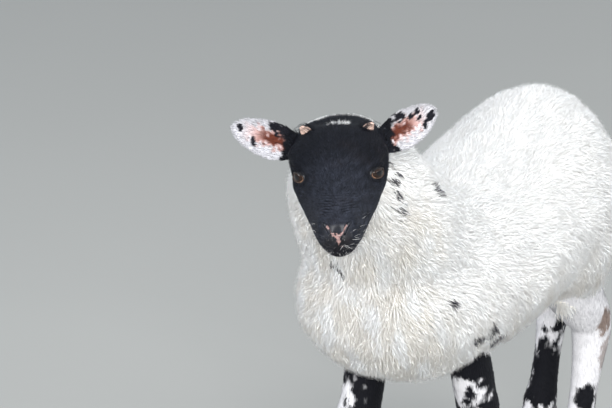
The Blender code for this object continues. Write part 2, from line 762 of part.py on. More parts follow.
def make_dewclaws(nodes, leg, end, name, place):
    x, y, deep = place
    for which, inner_side in (("inner", -1), ("outer", 1)):
        away = inner_side * (1 if x > 0 else -1)
        centre = Vector((x + away * DEWCLAW_OUT, y + deep, DEWCLAW_HEIGHT))
        lean = Matrix.Rotation(DEWCLAW_LEAN, 3, "X")
        bump = ball("dewclaw", centre, DEWCLAW_RADII, lean, 7, 4)
        boolean(leg, bump, "UNION")
        bpy.data.objects.remove(bump)
        middle = centre + Vector((0, DEWCLAW_ROOM[1], 0))
        cut = room(middle, Matrix.Identity(3), DEWCLAW_ROOM)
        made_name = f"{end}_dewclaw_{name}_{which}"
        nodes[made_name] = part_off(leg, made_name, [cut])


def make_legs(nodes, whole):
    """Parts the legs from the whole, each into its lengths, claws and dewclaws."""
    down = Vector((0, 0, -1))
    straight = Matrix.Identity(3)
    for name, side in SIDES.items():
        x, y, stride = FORELEG_AT[name]
        middle = Vector((side * FORELEG_ROOM[0], y, FORELEG_CUT - FORELEG_ROOM[2]))
        reach = room(middle, straight, FORELEG_ROOM)
        leg = part_off(whole, "forearm_" + name, [reach])
        lower = part_off(leg, "fore_cannon_" + name, [half_space(Vector((x, y, KNEE_CUT)), down)])
        nodes["forearm_" + name] = leg
        nodes["fore_cannon_" + name] = lower
        last = FORELEG[-2]
        coronet = (x, y + last[0] + stride)
        fetlock = next(row for row in FORELEG if row[1] < FETLOCK_HEIGHT)
        make_foot(nodes, lower, "fore", name, coronet)
        place = (x, y + fetlock[0] + stride, fetlock[3])
        make_dewclaws(nodes, lower, "fore", name, place)

        x, y, stride = HINDLEG_AT[name]
        middle = Vector((side * HINDLEG_ROOM[0], HINDLEG_MIDDLE, FORELEG_CUT))
        reach = room(middle, straight, HINDLEG_ROOM)
        leg = part_off(whole, "thigh_" + name, [reach, half_space(*THIGH_CUT)])
        lower = part_off(leg, "shank_" + name, [half_space(*SHANK_CUT)])
        cannon = part_off(
            lower, "hind_cannon_" + name, [half_space(Vector((x, y, HOCK_CUT)), down)]
        )
        nodes["thigh_" + name] = leg
        nodes["shank_" + name] = lower
        nodes["hind_cannon_" + name] = cannon
        last = HINDLEG[-2]
        coronet = (x, y + last[0] + stride)
        fetlock = next(row for row in HINDLEG if row[1] < FETLOCK_HEIGHT)
        make_foot(nodes, cannon, "hind", name, coronet)
        place = (x, y + fetlock[0] + stride, fetlock[3])
        make_dewclaws(nodes, cannon, "hind", name, place)


def core_body(inset):
    """Trunk, neck and tail melted into one body, with the legs joined to it."""
    body = trunk(inset)
    fuse(body, [limb("neck", NECK, inset, 16, 28), limb("tail", TAIL, inset * TAIL_CORE, 20, 16)])
    soften(body, BODY_GRAIN, BODY_PASSES, BODY_KEPT)
    legs = []
    for name in SIDES:
        legs.append(leg_path(FORELEG, FORELEG_AT[name], WOOL_HEM["fore"], inset))
        legs.append(leg_path(HINDLEG, HINDLEG_AT[name], WOOL_HEM["hind"], inset))
    return fuse(body, [limb("leg", rows) for rows in legs])


def clump_size(place):
    """Size of a clump rooted here beside the largest ones, or 0 where no wool grows."""
    x, y, z = place
    ahead = (head_frame().inverted() @ Vector(place)).y
    hem = WOOL_HEM["fore" if y < THIGH_CUT[0].y else "hind"]
    if ahead < WOOL_BEHIND and z > NECK_CUT[0].z:
        return 0.0
    if y > TAIL_CUT[0].y and abs(x - TAIL_ROOM[0].x) < TAIL_ROOM[1][0]:
        return TAIL_CLUMPS
    if z < hem:
        return 0.0
    if z < hem + WOOL_FADE and abs(x) > FORELEG[0][2] and y < THIGH_CUT[0].y:
        return LEG_CLUMPS
    if ahead < POLL_BACK and z > NECK_CUT[0].z:
        return POLL_CLUMPS
    return NECK_CLUMPS if y < NECK_CUT[0].y else 1.0


def clump_roots(core, draw):
    """Places spread evenly over the woolly part of the core, with normals and sizes."""
    core.data.calc_loop_triangles()
    vertices = core.data.vertices
    triangles = core.data.loop_triangles
    corners = np.array([[vertices[i].co for i in triangle.vertices] for triangle in triangles])
    normals = np.cross(corners[:, 1] - corners[:, 0], corners[:, 2] - corners[:, 0])
    areas = np.linalg.norm(normals, axis=1)
    picked = draw.choice(len(areas), CLUMP_PLACES, p=areas / areas.sum())
    shares = draw.dirichlet((1, 1, 1), CLUMP_PLACES)
    places = (corners[picked] * shares[:, :, None]).sum(axis=1)
    sizes = np.array([clump_size(place) for place in places])
    woolly = sizes > 0
    places, sizes, picked = places[woolly], sizes[woolly], picked[woolly]
    last = int(np.argmax(places[:, 2]))
    room, chosen = np.full(len(places), np.inf), []
    while room[last] > CLUMP_PITCH:
        chosen.append(last)
        away = np.linalg.norm(places - places[last], axis=1)
        room = np.minimum(room, 2 * away / (sizes + sizes[last]))
        last = int(np.argmax(room))
    outward = normals / areas[:, None]
    return [(Vector(places[i]), Vector(outward[picked[i]]), sizes[i]) for i in chosen]


def clump(place, normal, size, draw):
    """One rounded clump, lying back and down with the wool."""
    lie = CLUMP_LIE if size == 1.0 else Vector((0, 0, -1))
    along = (lie - normal * lie.dot(normal)).normalized()
    turn = Matrix((along, normal.cross(along), normal)).transposed()
    yaw = Matrix.Rotation(draw.uniform(-1, 1) * CLUMP_YAW, 3, "Z")
    turn = turn @ yaw @ Matrix.Rotation(-CLUMP_TILT, 3, "Y")
    radii = [half * size * (1 + CLUMP_VARIES * draw.uniform(-1, 1)) for half in CLUMP_HALF]
    centre = place - normal * CLUMP_SUNK
    return ball("clump", centre, radii, turn, CLUMP_SIDES, CLUMP_RINGS)


def fleece():
    """The whole woolly body: the core with its clumps in one union."""
    draw = np.random.default_rng(SEED)
    core = core_body(CORE_DEPTH)
    clumps = [clump(*root, draw) for root in clump_roots(core, draw)]
    fuse(core, clumps, "MANIFOLD")
    keep_largest(core)
    return core


def material(name, look):
    colour, roughness = COLOURS[look]
    made = bpy.data.materials.new(name)
    made.use_nodes = True
    shader = made.node_tree.nodes["Principled BSDF"]
    shader.inputs["Base Color"].default_value = (*colour, 1)
    shader.inputs["Roughness"].default_value = roughness
    shader.inputs["Metallic"].default_value = 0.0
    return made


LOOK_OF = {
    "head": "face", "ear": "ear", "eye": "eye", "horn": "bud", "claw": "claw",
    "dewclaw": "claw", "cannon": "leg", "shank": "leg",
}


def finish(nodes):
    """Colours each node, shades it smooth and moves the lamb's middle over the origin."""
    corners = np.array([v.co for made in nodes.values() for v in made.data.vertices])
    middle = (corners.min(axis=0) + corners.max(axis=0)) / 2
    shift = Matrix.Translation((-middle[0], -middle[1], -corners[:, 2].min()))
    for name, made in nodes.items():
        made.name = name
        made.data.transform(shift)
        words = [word for word in name.split("_") if word in LOOK_OF]
        look = LOOK_OF[words[0]] if words else "wool"
        made.data.materials.clear()
        made.data.materials.append(material(name, look))
        made.data.shade_smooth()
        made.data.set_sharp_from_angle(angle=CREASE if words else WOOL_CREASE)


def main():
    clear_scene()
    nodes = {}
    rooms = make_head(nodes)
    whole = fleece()
    carve(whole, rooms)
    keep_largest(whole)
    nodes["neck"] = part_off(whole, "neck", [half_space(*NECK_CUT)])
    behind = room(TAIL_ROOM[0], Matrix.Identity(3), TAIL_ROOM[1])
    nodes["tail"] = part_off(whole, "tail", [half_space(*TAIL_CUT), behind])
    make_legs(nodes, whole)
    nodes["torso"] = whole
    finish(nodes)


main()
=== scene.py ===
"""The looks of a black-faced hill lamb: one skin, its coat of small tufts, eyes, buds and claws.

All is made where the lamb's stations are named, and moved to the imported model's place at the
end. The fleece stands out from the skin as deep as the clumps of the solids do.
"""
import json
import math

import bmesh
import bpy
import numpy as np
from mathutils import Matrix, Vector
from mathutils.bvhtree import BVHTree
from mathutils.kdtree import KDTree

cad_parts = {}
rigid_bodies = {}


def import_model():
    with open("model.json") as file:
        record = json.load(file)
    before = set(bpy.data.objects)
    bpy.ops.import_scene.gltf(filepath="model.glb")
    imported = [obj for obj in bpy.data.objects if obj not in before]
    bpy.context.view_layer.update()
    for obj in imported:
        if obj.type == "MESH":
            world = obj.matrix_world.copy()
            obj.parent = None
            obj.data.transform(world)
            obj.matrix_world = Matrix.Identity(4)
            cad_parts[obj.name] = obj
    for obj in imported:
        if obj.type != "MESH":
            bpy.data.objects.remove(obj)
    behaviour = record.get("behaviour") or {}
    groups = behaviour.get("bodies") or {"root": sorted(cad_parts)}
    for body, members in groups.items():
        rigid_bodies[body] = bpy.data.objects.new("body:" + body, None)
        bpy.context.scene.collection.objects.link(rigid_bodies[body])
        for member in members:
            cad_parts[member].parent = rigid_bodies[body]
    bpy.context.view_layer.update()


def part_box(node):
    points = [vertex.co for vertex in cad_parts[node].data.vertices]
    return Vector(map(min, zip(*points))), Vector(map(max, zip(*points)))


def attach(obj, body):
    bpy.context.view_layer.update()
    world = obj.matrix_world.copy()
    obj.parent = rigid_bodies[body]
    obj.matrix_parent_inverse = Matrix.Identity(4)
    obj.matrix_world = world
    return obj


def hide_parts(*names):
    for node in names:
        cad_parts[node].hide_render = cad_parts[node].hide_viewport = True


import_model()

SEED = 11
SIDES = {"left": 1, "right": -1}

# Trunk, out to the tips of the wool: place along Y, half width, top, bottom.
TRUNK = (
    (-0.173, 0.042, 0.350, 0.266),
    (-0.152, 0.074, 0.374, 0.238),
    (-0.112, 0.090, 0.387, 0.219),
    (-0.060, 0.099, 0.394, 0.214),
    (0.000, 0.103, 0.399, 0.218),
    (0.060, 0.105, 0.408, 0.228),
    (0.120, 0.102, 0.425, 0.248),
    (0.162, 0.092, 0.434, 0.266),
    (0.198, 0.073, 0.419, 0.286),
    (0.223, 0.050, 0.386, 0.306),
)
TRUNK_WIDEST = 0.43
TRUNK_POWER = (1.75, 2.2)
NECK = (
    (0.000, -0.020, 0.305, 0.085, 0.080),
    (0.000, -0.075, 0.325, 0.085, 0.078),
    (0.001, -0.110, 0.354, 0.082, 0.075),
    (0.002, -0.142, 0.390, 0.077, 0.066),
    (0.003, -0.167, 0.427, 0.065, 0.059),
    (0.005, -0.184, 0.454, 0.049, 0.047),
    (0.008, -0.196, 0.470, 0.033, 0.028),
)
TAIL = (
    (0.000, 0.190, 0.374, 0.020, 0.020),
    (0.000, 0.222, 0.368, 0.024, 0.022),
    (0.002, 0.249, 0.336, 0.025, 0.022),
    (0.004, 0.257, 0.288, 0.024, 0.021),
    (0.007, 0.261, 0.244, 0.021, 0.019),
    (0.010, 0.264, 0.206, 0.015, 0.014),
    (0.012, 0.265, 0.186, 0.009, 0.009),
)
TAIL_CORE = 0.35
TAIL_PLACE = (0.235, 0.012, 0.034)  # behind this, and this far to each side of this X

# Legs: Y from the leg's foot line, Z, half width, half depth, share of the leg's stride.
FORELEG = (
    (0.000, 0.290, 0.030, 0.036, 0.0),
    (0.000, 0.250, 0.027, 0.031, 0.2),
    (0.000, 0.220, 0.0220, 0.0250, 0.5),
    (0.000, 0.195, 0.0190, 0.0220, 0.7),
    (0.000, 0.174, 0.0190, 0.0215, 0.85),
    (-0.001, 0.158, 0.0200, 0.0220, 1.0),
    (0.000, 0.142, 0.0175, 0.0190, 1.0),
    (0.001, 0.120, 0.0138, 0.0152, 1.0),
    (0.001, 0.090, 0.0130, 0.0150, 1.0),
    (0.001, 0.068, 0.0143, 0.0168, 1.0),
    (0.000, 0.055, 0.0166, 0.0190, 1.0),
    (-0.003, 0.043, 0.0160, 0.0180, 1.0),
    (-0.008, 0.033, 0.0147, 0.0168, 1.0),
    (-0.012, 0.022, 0.0160, 0.0186, 1.0),
    (-0.014, 0.012, 0.0160, 0.0186, 1.0),
)
FORELEG_AT = {"left": (0.045, -0.052, 0.040), "right": (-0.042, -0.058, -0.034)}
HINDLEG = (
    (0.150, 0.338, 0.056, 0.070, 0.0),
    (0.142, 0.288, 0.054, 0.067, 0.1),
    (0.150, 0.248, 0.037, 0.046, 0.35),
    (0.172, 0.214, 0.0235, 0.0290, 0.75),
    (0.194, 0.188, 0.0190, 0.0245, 1.0),
    (0.198, 0.168, 0.0182, 0.0235, 1.0),
    (0.194, 0.145, 0.0158, 0.0185, 1.0),
    (0.187, 0.112, 0.0132, 0.0152, 1.0),
    (0.180, 0.078, 0.0138, 0.0160, 1.0),
    (0.174, 0.058, 0.0166, 0.0190, 1.0),
    (0.168, 0.045, 0.0158, 0.0178, 1.0),
    (0.161, 0.034, 0.0147, 0.0168, 1.0),
    (0.156, 0.022, 0.0160, 0.0186, 1.0),
    (0.154, 0.012, 0.0160, 0.0186, 1.0),
)
HINDLEG_AT = {"left": (0.046, 0.0, 0.005), "right": (-0.042, 0.0, 0.080)}
FORE_HEM, HIND_HEM = 0.228, 0.240  # height where the wool thins out on the legs
LEGS = [(FORELEG, FORELEG_AT[name], FORE_HEM) for name in SIDES]
LEGS += [(HINDLEG, HINDLEG_AT[name], HIND_HEM) for name in SIDES]
FORE_FROM_HIND = 0.100  # Y between the fore and the hind legs
# Hem on the left foreleg: height at this X, slope out from it, lowest, highest.
HEM_SLANT = (0.2215, 0.0425, 0.90, 0.2200, 0.2520)

CORE_DEPTH = 0.011
WOOL_FADE = 0.045
BODY_GRAIN = 0.0034
BODY_PASSES = 3
MELT_ABOVE = 0.235  # the joins of neck and trunk melt further above here
MELT_PASSES = 22
CREASE_PASSES = 110  # where the neck's underside meets the chest

CLAW_LONG = 0.033
CLAW_WIDE = 0.0145
CLEFT = 0.0016
CLAW_WALL = ((0.0, 1.0, 0.0), (0.010, 0.97, 0.25), (0.034, 0.84, 1.0))
CLAW_POWER = 2.5  # how square the sole is
CLAW_EDGE = 0.06  # shares of the radius and the height
CLAW_RINGS = (0.16, 0.32, 0.48, 0.64, 0.80)
CLAW_GROOVE = (0.012, 0.0042)  # depth as a share of the size, and pitch of the growth lines
CLAW_LEAN = 0.011
CLAW_TAPER = 0.28
TOE_AHEAD = 0.013
CORONET_HEIGHT = 0.020
CORONET_SLANT = math.radians(17)
CLAW_SUNK = 0.0030  # into the hair over the coronet
DEWCLAW_HEIGHT = 0.044
DEWCLAW_RADII = (0.0042, 0.0050, 0.0065)
DEWCLAW_TAPER = 0.25
DEWCLAW_OUT = 0.0085
DEWCLAW_LEAN = math.radians(20)
FETLOCK_HEIGHT = 0.05

# Head, in its own frame: X to its left, -Y ahead, Z up, origin midway between the eyes.
HEAD_AT = Vector((0.0298, -0.2332, 0.4598))
HEAD_TURN = math.radians(33.5)
HEAD_DROP = math.radians(27)
HEAD_TILT = math.radians(-5)
HEAD = (
    (-0.064, 0.024, 0.006, -0.028, -0.010, 2.0, 2.0),
    (-0.053, 0.034, 0.018, -0.038, -0.008, 2.1, 2.0),
    (-0.036, 0.0400, 0.0254, -0.045, -0.004, 2.2, 2.0),
    (-0.016, 0.0420, 0.0274, -0.0465, -0.001, 2.3, 2.0),
    (0.001, 0.0402, 0.0263, -0.0462, -0.005, 2.25, 2.0),
    (0.017, 0.0364, 0.0225, -0.0450, -0.013, 2.0, 2.0),
    (0.031, 0.0324, 0.0196, -0.0425, -0.017, 1.85, 2.05),
    (0.045, 0.0268, 0.0175, -0.0398, -0.018, 1.9, 2.1),
    (0.058, 0.0226, 0.0140, -0.0372, -0.017, 2.1, 2.2),
    (0.068, 0.0188, 0.0086, -0.0345, -0.0155, 2.2, 2.2),
    (0.0755, 0.0146, 0.0012, -0.0308, -0.0145, 2.1, 2.1),
    (0.0797, 0.0100, -0.0045, -0.0262, -0.0150, 2.0, 2.0),
    (0.0820, 0.0048, -0.0095, -0.0205, -0.0150, 2.0, 2.0),
)
HEAD_FORMS = (
    ((0.040, 0.004, 0.012), (0.010, 0.014, 0.007), (0.0038, 0.0, 0.0024)),
    ((0.041, -0.003, 0.001), (0.009, 0.011, 0.008), (-0.0042, 0.0, 0.0)),
    ((0.043, 0.012, 0.000), (0.008, 0.008, 0.012), (0.0026, 0.0, 0.0)),
    ((0.038, -0.004, -0.014), (0.009, 0.018, 0.007), (0.0020, 0.0, 0.0)),
    ((0.036, -0.019, 0.002), (0.009, 0.011, 0.009), (-0.0028, 0.0, 0.0)),
    ((0.037, 0.010, -0.027), (0.012, 0.022, 0.014), (0.0028, 0.0, 0.0)),
    ((0.030, -0.028, -0.034), (0.010, 0.014, 0.009), (-0.0026, 0.0, 0.0015)),
    ((0.0125, -0.067, 0.003), (0.006, 0.007, 0.006), (0.0020, -0.0010, 0.0006)),
    ((0.010, -0.074, -0.009), (0.008, 0.008, 0.005), (0.0014, -0.0014, 0.0)),
    ((0.000, -0.080, -0.003), (0.003, 0.008, 0.008), (0.0, 0.0014, 0.0)),
    ((0.006, -0.070, -0.032), (0.010, 0.010, 0.005), (0.0, -0.0016, -0.0008)),
    ((0.014, 0.047, 0.020), (0.020, 0.017, 0.016), (0.0, -0.0030, -0.0042)),
)
HEAD_GRID = (180, 176)  # rings, points round each
WOOL_LINE = (0.0490, 0.30)  # the face's hair ends this far behind the eyes, further back on top

EYE_RADIUS = 0.0115
EYE_SWELL = (0.0006, 0.0035, 0.0068)  # height over the iris, falling off between these radii
EYE_CENTRE = (0.0280, -0.0035, -0.0006)
EYE_LOOKS = Vector((0.79, -0.54, 0.29)).normalized()
LID_HALF = (0.0075, 0.0043)
LID_THICK = 0.0012
EYE_SLOPE = 0.56

BROW_AT = (0.0275, -0.0010, 0.0140)
BROW_RADII = (0.0085, 0.0120, 0.0060)
BROW_RISE = 0.0016

MOUTH_HEIGHT = -0.0150
MOUTH_DEEP = 0.0021
MOUTH_BACK = 0.044
MOUTH_LEVEL = 0.070
MOUTH_RISE = 0.0024
LIP_HALF = 0.00075
NOSTRIL = (
    (0.0062, -0.0034, 0.0009, 0.0012),
    (0.0074, -0.0003, 0.0018, 0.0022),
    (0.0092, 0.0027, 0.0022, 0.0026),
    (0.0116, 0.0044, 0.0018, 0.0022),
    (0.0132, 0.0044, 0.0008, 0.0012),
)
# Wrinkles across the nose lie level as seen from ahead and a little above.
WRINKLE_SLANT = (0.719, -0.695)
WRINKLE_SPAN = (0.0225, 0.0395)
WRINKLE_PITCH = 0.0024
WRINKLE_DEEP = 0.00046

BUD_AT = (0.0275, 0.032, 0.0175)
BUD_LEAN = math.radians(40)
BUD_RADII = (0.0052, 0.0041, 0.0080)
BUD_FOOT = 0.0070  # bare skin within this of the bud's middle

EAR_ROOT = (0.0345, 0.033, -0.0030)
EAR_LONG = 0.066
EAR_HALF = 0.0172
EAR_ROOT_SHARE = 0.60
EAR_WIDEST = 0.45
EAR_POINT = 3.2
EAR_ROUND = 0.62
EAR_FLATTENS = 0.58
EAR_RIM = 0.0004
EAR_CUP = 0.0095
EAR_DROOP = 0.010
EAR_THICK = 0.0030
EAR_GRID = (56, 29)
EAR_RISE = {"left": math.radians(-2), "right": math.radians(10)}
EAR_BACK = {"left": math.radians(40), "right": math.radians(14)}
EAR_FACE = math.radians(-38)

# Tufts: how many, half width, half thickness.
TUFTS = {
    "wool": (63000, 0.00092, 0.00046),
    "face": (42000, 0.00034, 0.00014),
    "leg": (16000, 0.00046, 0.00020),
    "ear": (6400, 0.00032, 0.00013),
}
WOOL_LONG = 0.0175
SOFTNESS = 0.6
POLL_BLACK = (0.008, 0.046, 0.018)
NAPE_AT = (0.006, 0.056, 0.020)  # the wool lies low behind the poll
WISPS = (112000, 0.00064, 0.00032)
COAT_REACH, SKIN_REACH = 0.96, 0.9  # no colour of the coat or the skin is lighter
WHISKERS = 380
WHISKER_HALF = (0.00010, 0.00009)
LASHES = 46
BUD_HAIRS = 48
BUD_HAIR_HALF = (0.00030, 0.00016)
TUFT_PATCH = 0.0015  # half of its patch on the unwrap

# Colours, as light comes back from them.
WHITE = (0.95, 0.94, 0.92)
# Cream-grey: the wool's own cream tone, also laid on the underside and the chest as painted shade.
CREAM_AND_SHADE = (0.82, 0.76, 0.67)
LEG_WHITE = (0.46, 0.457, 0.475)
EAR_WHITE = (0.40, 0.398, 0.425)
BLACK = (0.0044, 0.0047, 0.0064)
BROWN = (0.075, 0.040, 0.026)
RUST = (0.066, 0.018, 0.011)
PINK = (0.38, 0.20, 0.17)
NOSE_PINK = (0.25, 0.155, 0.147)
GREY = (0.26, 0.235, 0.23)
GREY_BROWN = (0.15, 0.115, 0.10)
TAN = (0.21, 0.112, 0.066)
SPECK = (0.008, 0.008, 0.011)
# Painted sheen: the blue-grey reflection of black hair, laid into its colour.
PAINTED_SHEEN = (0.0132, 0.0152, 0.0218)
WHISKER_TONES = (BLACK, BLACK, BLACK, (0.08, 0.08, 0.09), (0.50, 0.50, 0.50))

RIM_DARK = (0.010, 0.008, 0.008)
IRIS = ((0.004, 0.002, 0.0015), (0.020, 0.0088, 0.0048))
IRIS_RIM = (0.012, 0.008, 0.007)
PUPIL = (0.004, 0.004, 0.005)
PUPIL_HALF = (0.33, 0.17)  # of the eye's radius, along the slot and across it
FLOOR = ((0.205, 0.21, 0.205), (0.23, 0.235, 0.23))

# Markings in the wool and on the legs: centre, radii, colour.
BODY_MARKS = (
    ((0.0505, -0.1792, 0.4520), (0.0130, 0.0056, 0.0046), SPECK),
    ((0.0560, -0.1736, 0.4430), (0.0120, 0.0022, 0.0022), SPECK),
    ((0.0585, -0.1800, 0.4370), (0.0120, 0.0050, 0.0040), SPECK),
    ((0.0640, -0.1812, 0.4250), (0.0120, 0.0042, 0.0038), SPECK),
    ((0.0647, -0.1770, 0.4170), (0.0120, 0.0022, 0.0020), SPECK),
    ((0.0650, -0.1788, 0.4100), (0.0120, 0.0040, 0.0036), SPECK),
    ((0.0650, -0.1770, 0.4000), (0.0120, 0.0026, 0.0026), SPECK),
    ((0.0646, -0.1232, 0.4205), (0.0120, 0.0055, 0.0042), SPECK),
    ((0.0695, -0.1170, 0.4130), (0.0120, 0.0052, 0.0040), SPECK),
    ((-0.0069, -0.1877, 0.3448), (0.0024, 0.0130, 0.0024), SPECK),
    ((-0.0012, -0.1878, 0.3410), (0.0026, 0.0130, 0.0020), SPECK),
    ((0.0037, -0.1869, 0.3370), (0.0024, 0.0130, 0.0024), SPECK),
    ((0.0000, -0.1869, 0.3340), (0.0016, 0.0130, 0.0018), SPECK),
    ((0.0860, -0.1200, 0.3060), (0.0120, 0.0042, 0.0046), SPECK),
    ((0.0881, -0.0833, 0.2580), (0.0160, 0.0095, 0.0048), SPECK),
    ((0.0922, -0.0633, 0.2620), (0.0160, 0.0068, 0.0068), SPECK),
    ((0.0860, -0.0430, 0.2440), (0.0160, 0.0120, 0.0085), SPECK),
)
LEG_MARKS = (
    ((-0.058, -0.104, 0.150), (0.024, 0.034, 0.046), LEG_WHITE),
    ((-0.048, -0.094, 0.128), (0.020, 0.020, 0.007), BLACK),
    ((-0.046, -0.100, 0.082), (0.020, 0.026, 0.026), LEG_WHITE),
    ((-0.034, -0.086, 0.062), (0.014, 0.020, 0.012), BLACK),
    ((-0.052, -0.100, 0.036), (0.012, 0.026, 0.010), LEG_WHITE),
    ((0.047, -0.050, 0.183), (0.0200, 0.034, 0.0165), LEG_WHITE),
    ((0.0535, -0.0400, 0.1830), (0.0045, 0.010, 0.0100), BLACK),
    ((0.0490, -0.0420, 0.1740), (0.0050, 0.010, 0.0050), BLACK),
    ((0.044, -0.026, 0.118), (0.022, 0.022, 0.026), LEG_WHITE),
    ((0.052, -0.004, 0.122), (0.012, 0.014, 0.012), BLACK),
    ((0.036, -0.024, 0.060), (0.016, 0.024, 0.016), LEG_WHITE),
    ((-0.0240, 0.2690, 0.1430), (0.0120, 0.0120, 0.0170), BLACK),
    ((-0.0394, 0.2553, 0.1345), (0.0034, 0.0080, 0.0034), BLACK),
    ((-0.0350, 0.2490, 0.0850), (0.0240, 0.0320, 0.0420), BLACK),
    ((-0.0299, 0.2621, 0.1351), (0.0044, 0.0080, 0.0040), BLACK),
    ((-0.0460, 0.2500, 0.0620), (0.0120, 0.0240, 0.0120), BLACK),
    ((-0.0360, 0.2400, 0.0300), (0.0120, 0.0120, 0.0120), BLACK),
    ((0.0620, 0.1985, 0.1860), (0.0100, 0.0130, 0.0150), GREY_BROWN),
    ((0.0590, 0.2030, 0.1480), (0.0080, 0.0085, 0.0220), GREY),
    ((0.0560, 0.1810, 0.1040), (0.0130, 0.0140, 0.0150), BLACK),
    ((0.0360, 0.1960, 0.1260), (0.0080, 0.0100, 0.0120), BLACK),
    ((0.0400, 0.1760, 0.0560), (0.0160, 0.0150, 0.0140), BLACK),
    ((0.0560, 0.1600, 0.0280), (0.0100, 0.0120, 0.0090), BLACK),
)
HEAD_MARKS = (
    ((0.0029, 0.0420, 0.0245), (0.0124, 0.0058, 0.014), WHITE),
)
# Streaks on the nose, by X and Z, seen from ahead: end, end, half width, colour.
NOSE_STREAKS = (
    ((-0.0084, 0.0014), (-0.0010, -0.0044), 0.00070, NOSE_PINK),
    ((0.0084, 0.0014), (0.0012, -0.0044), 0.00070, NOSE_PINK),
    ((0.0002, -0.0050), (0.0006, -0.0078), 0.0017, NOSE_PINK),
    ((0.0006, -0.0078), (0.0010, -0.0122), 0.0011, (0.22, 0.14, 0.13)),
    ((-0.0030, -0.0128), (0.0040, -0.0128), 0.0010, (0.10, 0.075, 0.075)),
)
EAR_MARKS = {
    "right": (
        ((-0.0898, 0.0543, 0.0067), 0.0030), ((-0.0784, 0.0434, -0.0012), 0.0026),
        ((-0.0579, 0.0467, 0.0125), 0.0060), ((-0.0520, 0.0440, 0.0110), 0.0070),
    ),
    "left": (
        ((0.0827, 0.0697, -0.0063), 0.0042), ((0.0706, 0.0663, 0.0030), 0.0032),
        ((0.0651, 0.0616, 0.0023), 0.0026), ((0.0582, 0.0576, 0.0061), 0.0028),
        ((0.0720, 0.0635, -0.0033), 0.0024), ((0.0779, 0.0618, -0.0084), 0.0026),
        ((0.0560, 0.0540, 0.0080), 0.0050),
    ),
}
EAR_STREAK = (0.010, 0.041, 0.0058)  # rust from here to here along the ear, and its half width
EAR_PINK = (0.050, 0.0085)

# Lights: name, place, width, power in watts, colour.
LIGHTS = (
    ("Key", (1.7, 0.5, 3.0), 2.4, 118, (1.0, 0.985, 0.96)),
    ("Fill", (-1.8, -2.6, 1.7), 2.4, 66, (0.95, 0.96, 1.0)),
    ("Front", (2.0, -3.0, 1.2), 2.4, 235, (1.0, 0.99, 0.97)),
    ("Left glint", (2.6, -0.25, 0.80), 0.32, 9, (1.0, 1.0, 1.0)),
    ("Right glint", (-1.1, -3.1, 0.80), 0.32, 9, (1.0, 1.0, 1.0)),
)
LIT_AT = Vector((0.0, 0.0, 0.3))

CAMERA_AT = Vector((-0.176, 0.0103, 0.318))
CAMERA_TURN = (math.radians(35), math.radians(19))
CAMERA_AWAY = 3.2
CAMERA_LENS = 188


def smoothstep(low, high, value):
    share = np.clip((np.asarray(value) - low) / (high - low), 0, 1)
    return share * share * (3 - 2 * share)


def ripple(places, size, seed, waves=7):
    """A smooth wandering value, mostly from -1 to 1, that turns over about this size."""
    draw = np.random.default_rng(seed)
    found = np.zeros(places.shape[:-1])
    for _ in range(waves):
        heading = draw.normal(size=3)
        heading *= draw.uniform(0.7, 1.7) / np.linalg.norm(heading)
        found += np.sin(places @ heading * (2 * math.pi / size) + draw.uniform(0, 2 * math.pi))
    return found / math.sqrt(waves)


def unit(vectors):
    length = np.linalg.norm(vectors, axis=-1, keepdims=True)
    return vectors / np.maximum(length, 1e-12)


def through(stations, count):
    """Rows read evenly along a smooth curve through the stations."""
    rows = np.array(stations, float)
    padded = np.vstack((2 * rows[0] - rows[1], rows, 2 * rows[-1] - rows[-2]))
    found = []
    for place in np.linspace(0, len(rows) - 1, count):
        first = min(int(place), len(rows) - 2)
        t = place - first
        a, b, c, d = padded[first : first + 4]
        found.append(
            0.5 * (2 * b + (c - a) * t + (2 * a - 5 * b + 4 * c - d) * t**2)
            + 0.5 * (3 * b - a - 3 * c + d) * t**3
        )
    return np.array(found)


def mesh_object(name, points, faces):
    mesh = bpy.data.meshes.new(name)
    mesh.from_pydata([tuple(point) for point in points], [], faces)
    shape = bmesh.new()
    shape.from_mesh(mesh)
    bmesh.ops.recalc_face_normals(shape, faces=shape.faces)
    shape.to_mesh(mesh)
    shape.free()
    made = bpy.data.objects.new(name, mesh)
    bpy.context.scene.collection.objects.link(made)
    return made


def loft(name, rings):
    """A closed body through rings of points, with a fan over each end."""
    rings = np.asarray(rings)
    count, sides = rings.shape[:2]
    points = np.vstack((rings.reshape(-1, 3), rings[0].mean(axis=0), rings[-1].mean(axis=0)))
    first_end, last_end = count * sides, count * sides + 1
    faces = []
    for side in range(sides):
        after = (side + 1) % sides
        for ring in range(count - 1):
            near, far = ring * sides, (ring + 1) * sides
            faces.append((near + side, near + after, far + after, far + side))
        faces.append((first_end, after, side))
        last = (count - 1) * sides
        faces.append((last_end, last + side, last + after))
    return mesh_object(name, points, faces)


def rounded(angle, power):
    return [math.copysign(abs(f(angle)) ** (2 / power), f(angle)) for f in (math.cos, math.sin)]


def oval(centre, side, up, wide, high, low, powers, sides):
    points = []
    for step in range(sides):
        angle = 2 * math.pi * step / sides
        upper = math.sin(angle) > 0
        across, rise = rounded(angle, powers[0] if upper else powers[1])
        points.append(centre + side * across * wide + up * rise * (high if upper else low))
    return points


def trunk(inset, rings=60, sides=72):
    found = []
    for y, wide, top, bottom in through(TRUNK, rings):
        middle = bottom + TRUNK_WIDEST * (top - bottom)
        found.append(
            oval(
                Vector((0, y, middle)), Vector((1, 0, 0)), Vector((0, 0, 1)),
                max(wide - inset, 0.01), top - middle - inset, middle - bottom - inset,
                TRUNK_POWER, sides,
            )
        )
    return loft("trunk", found)


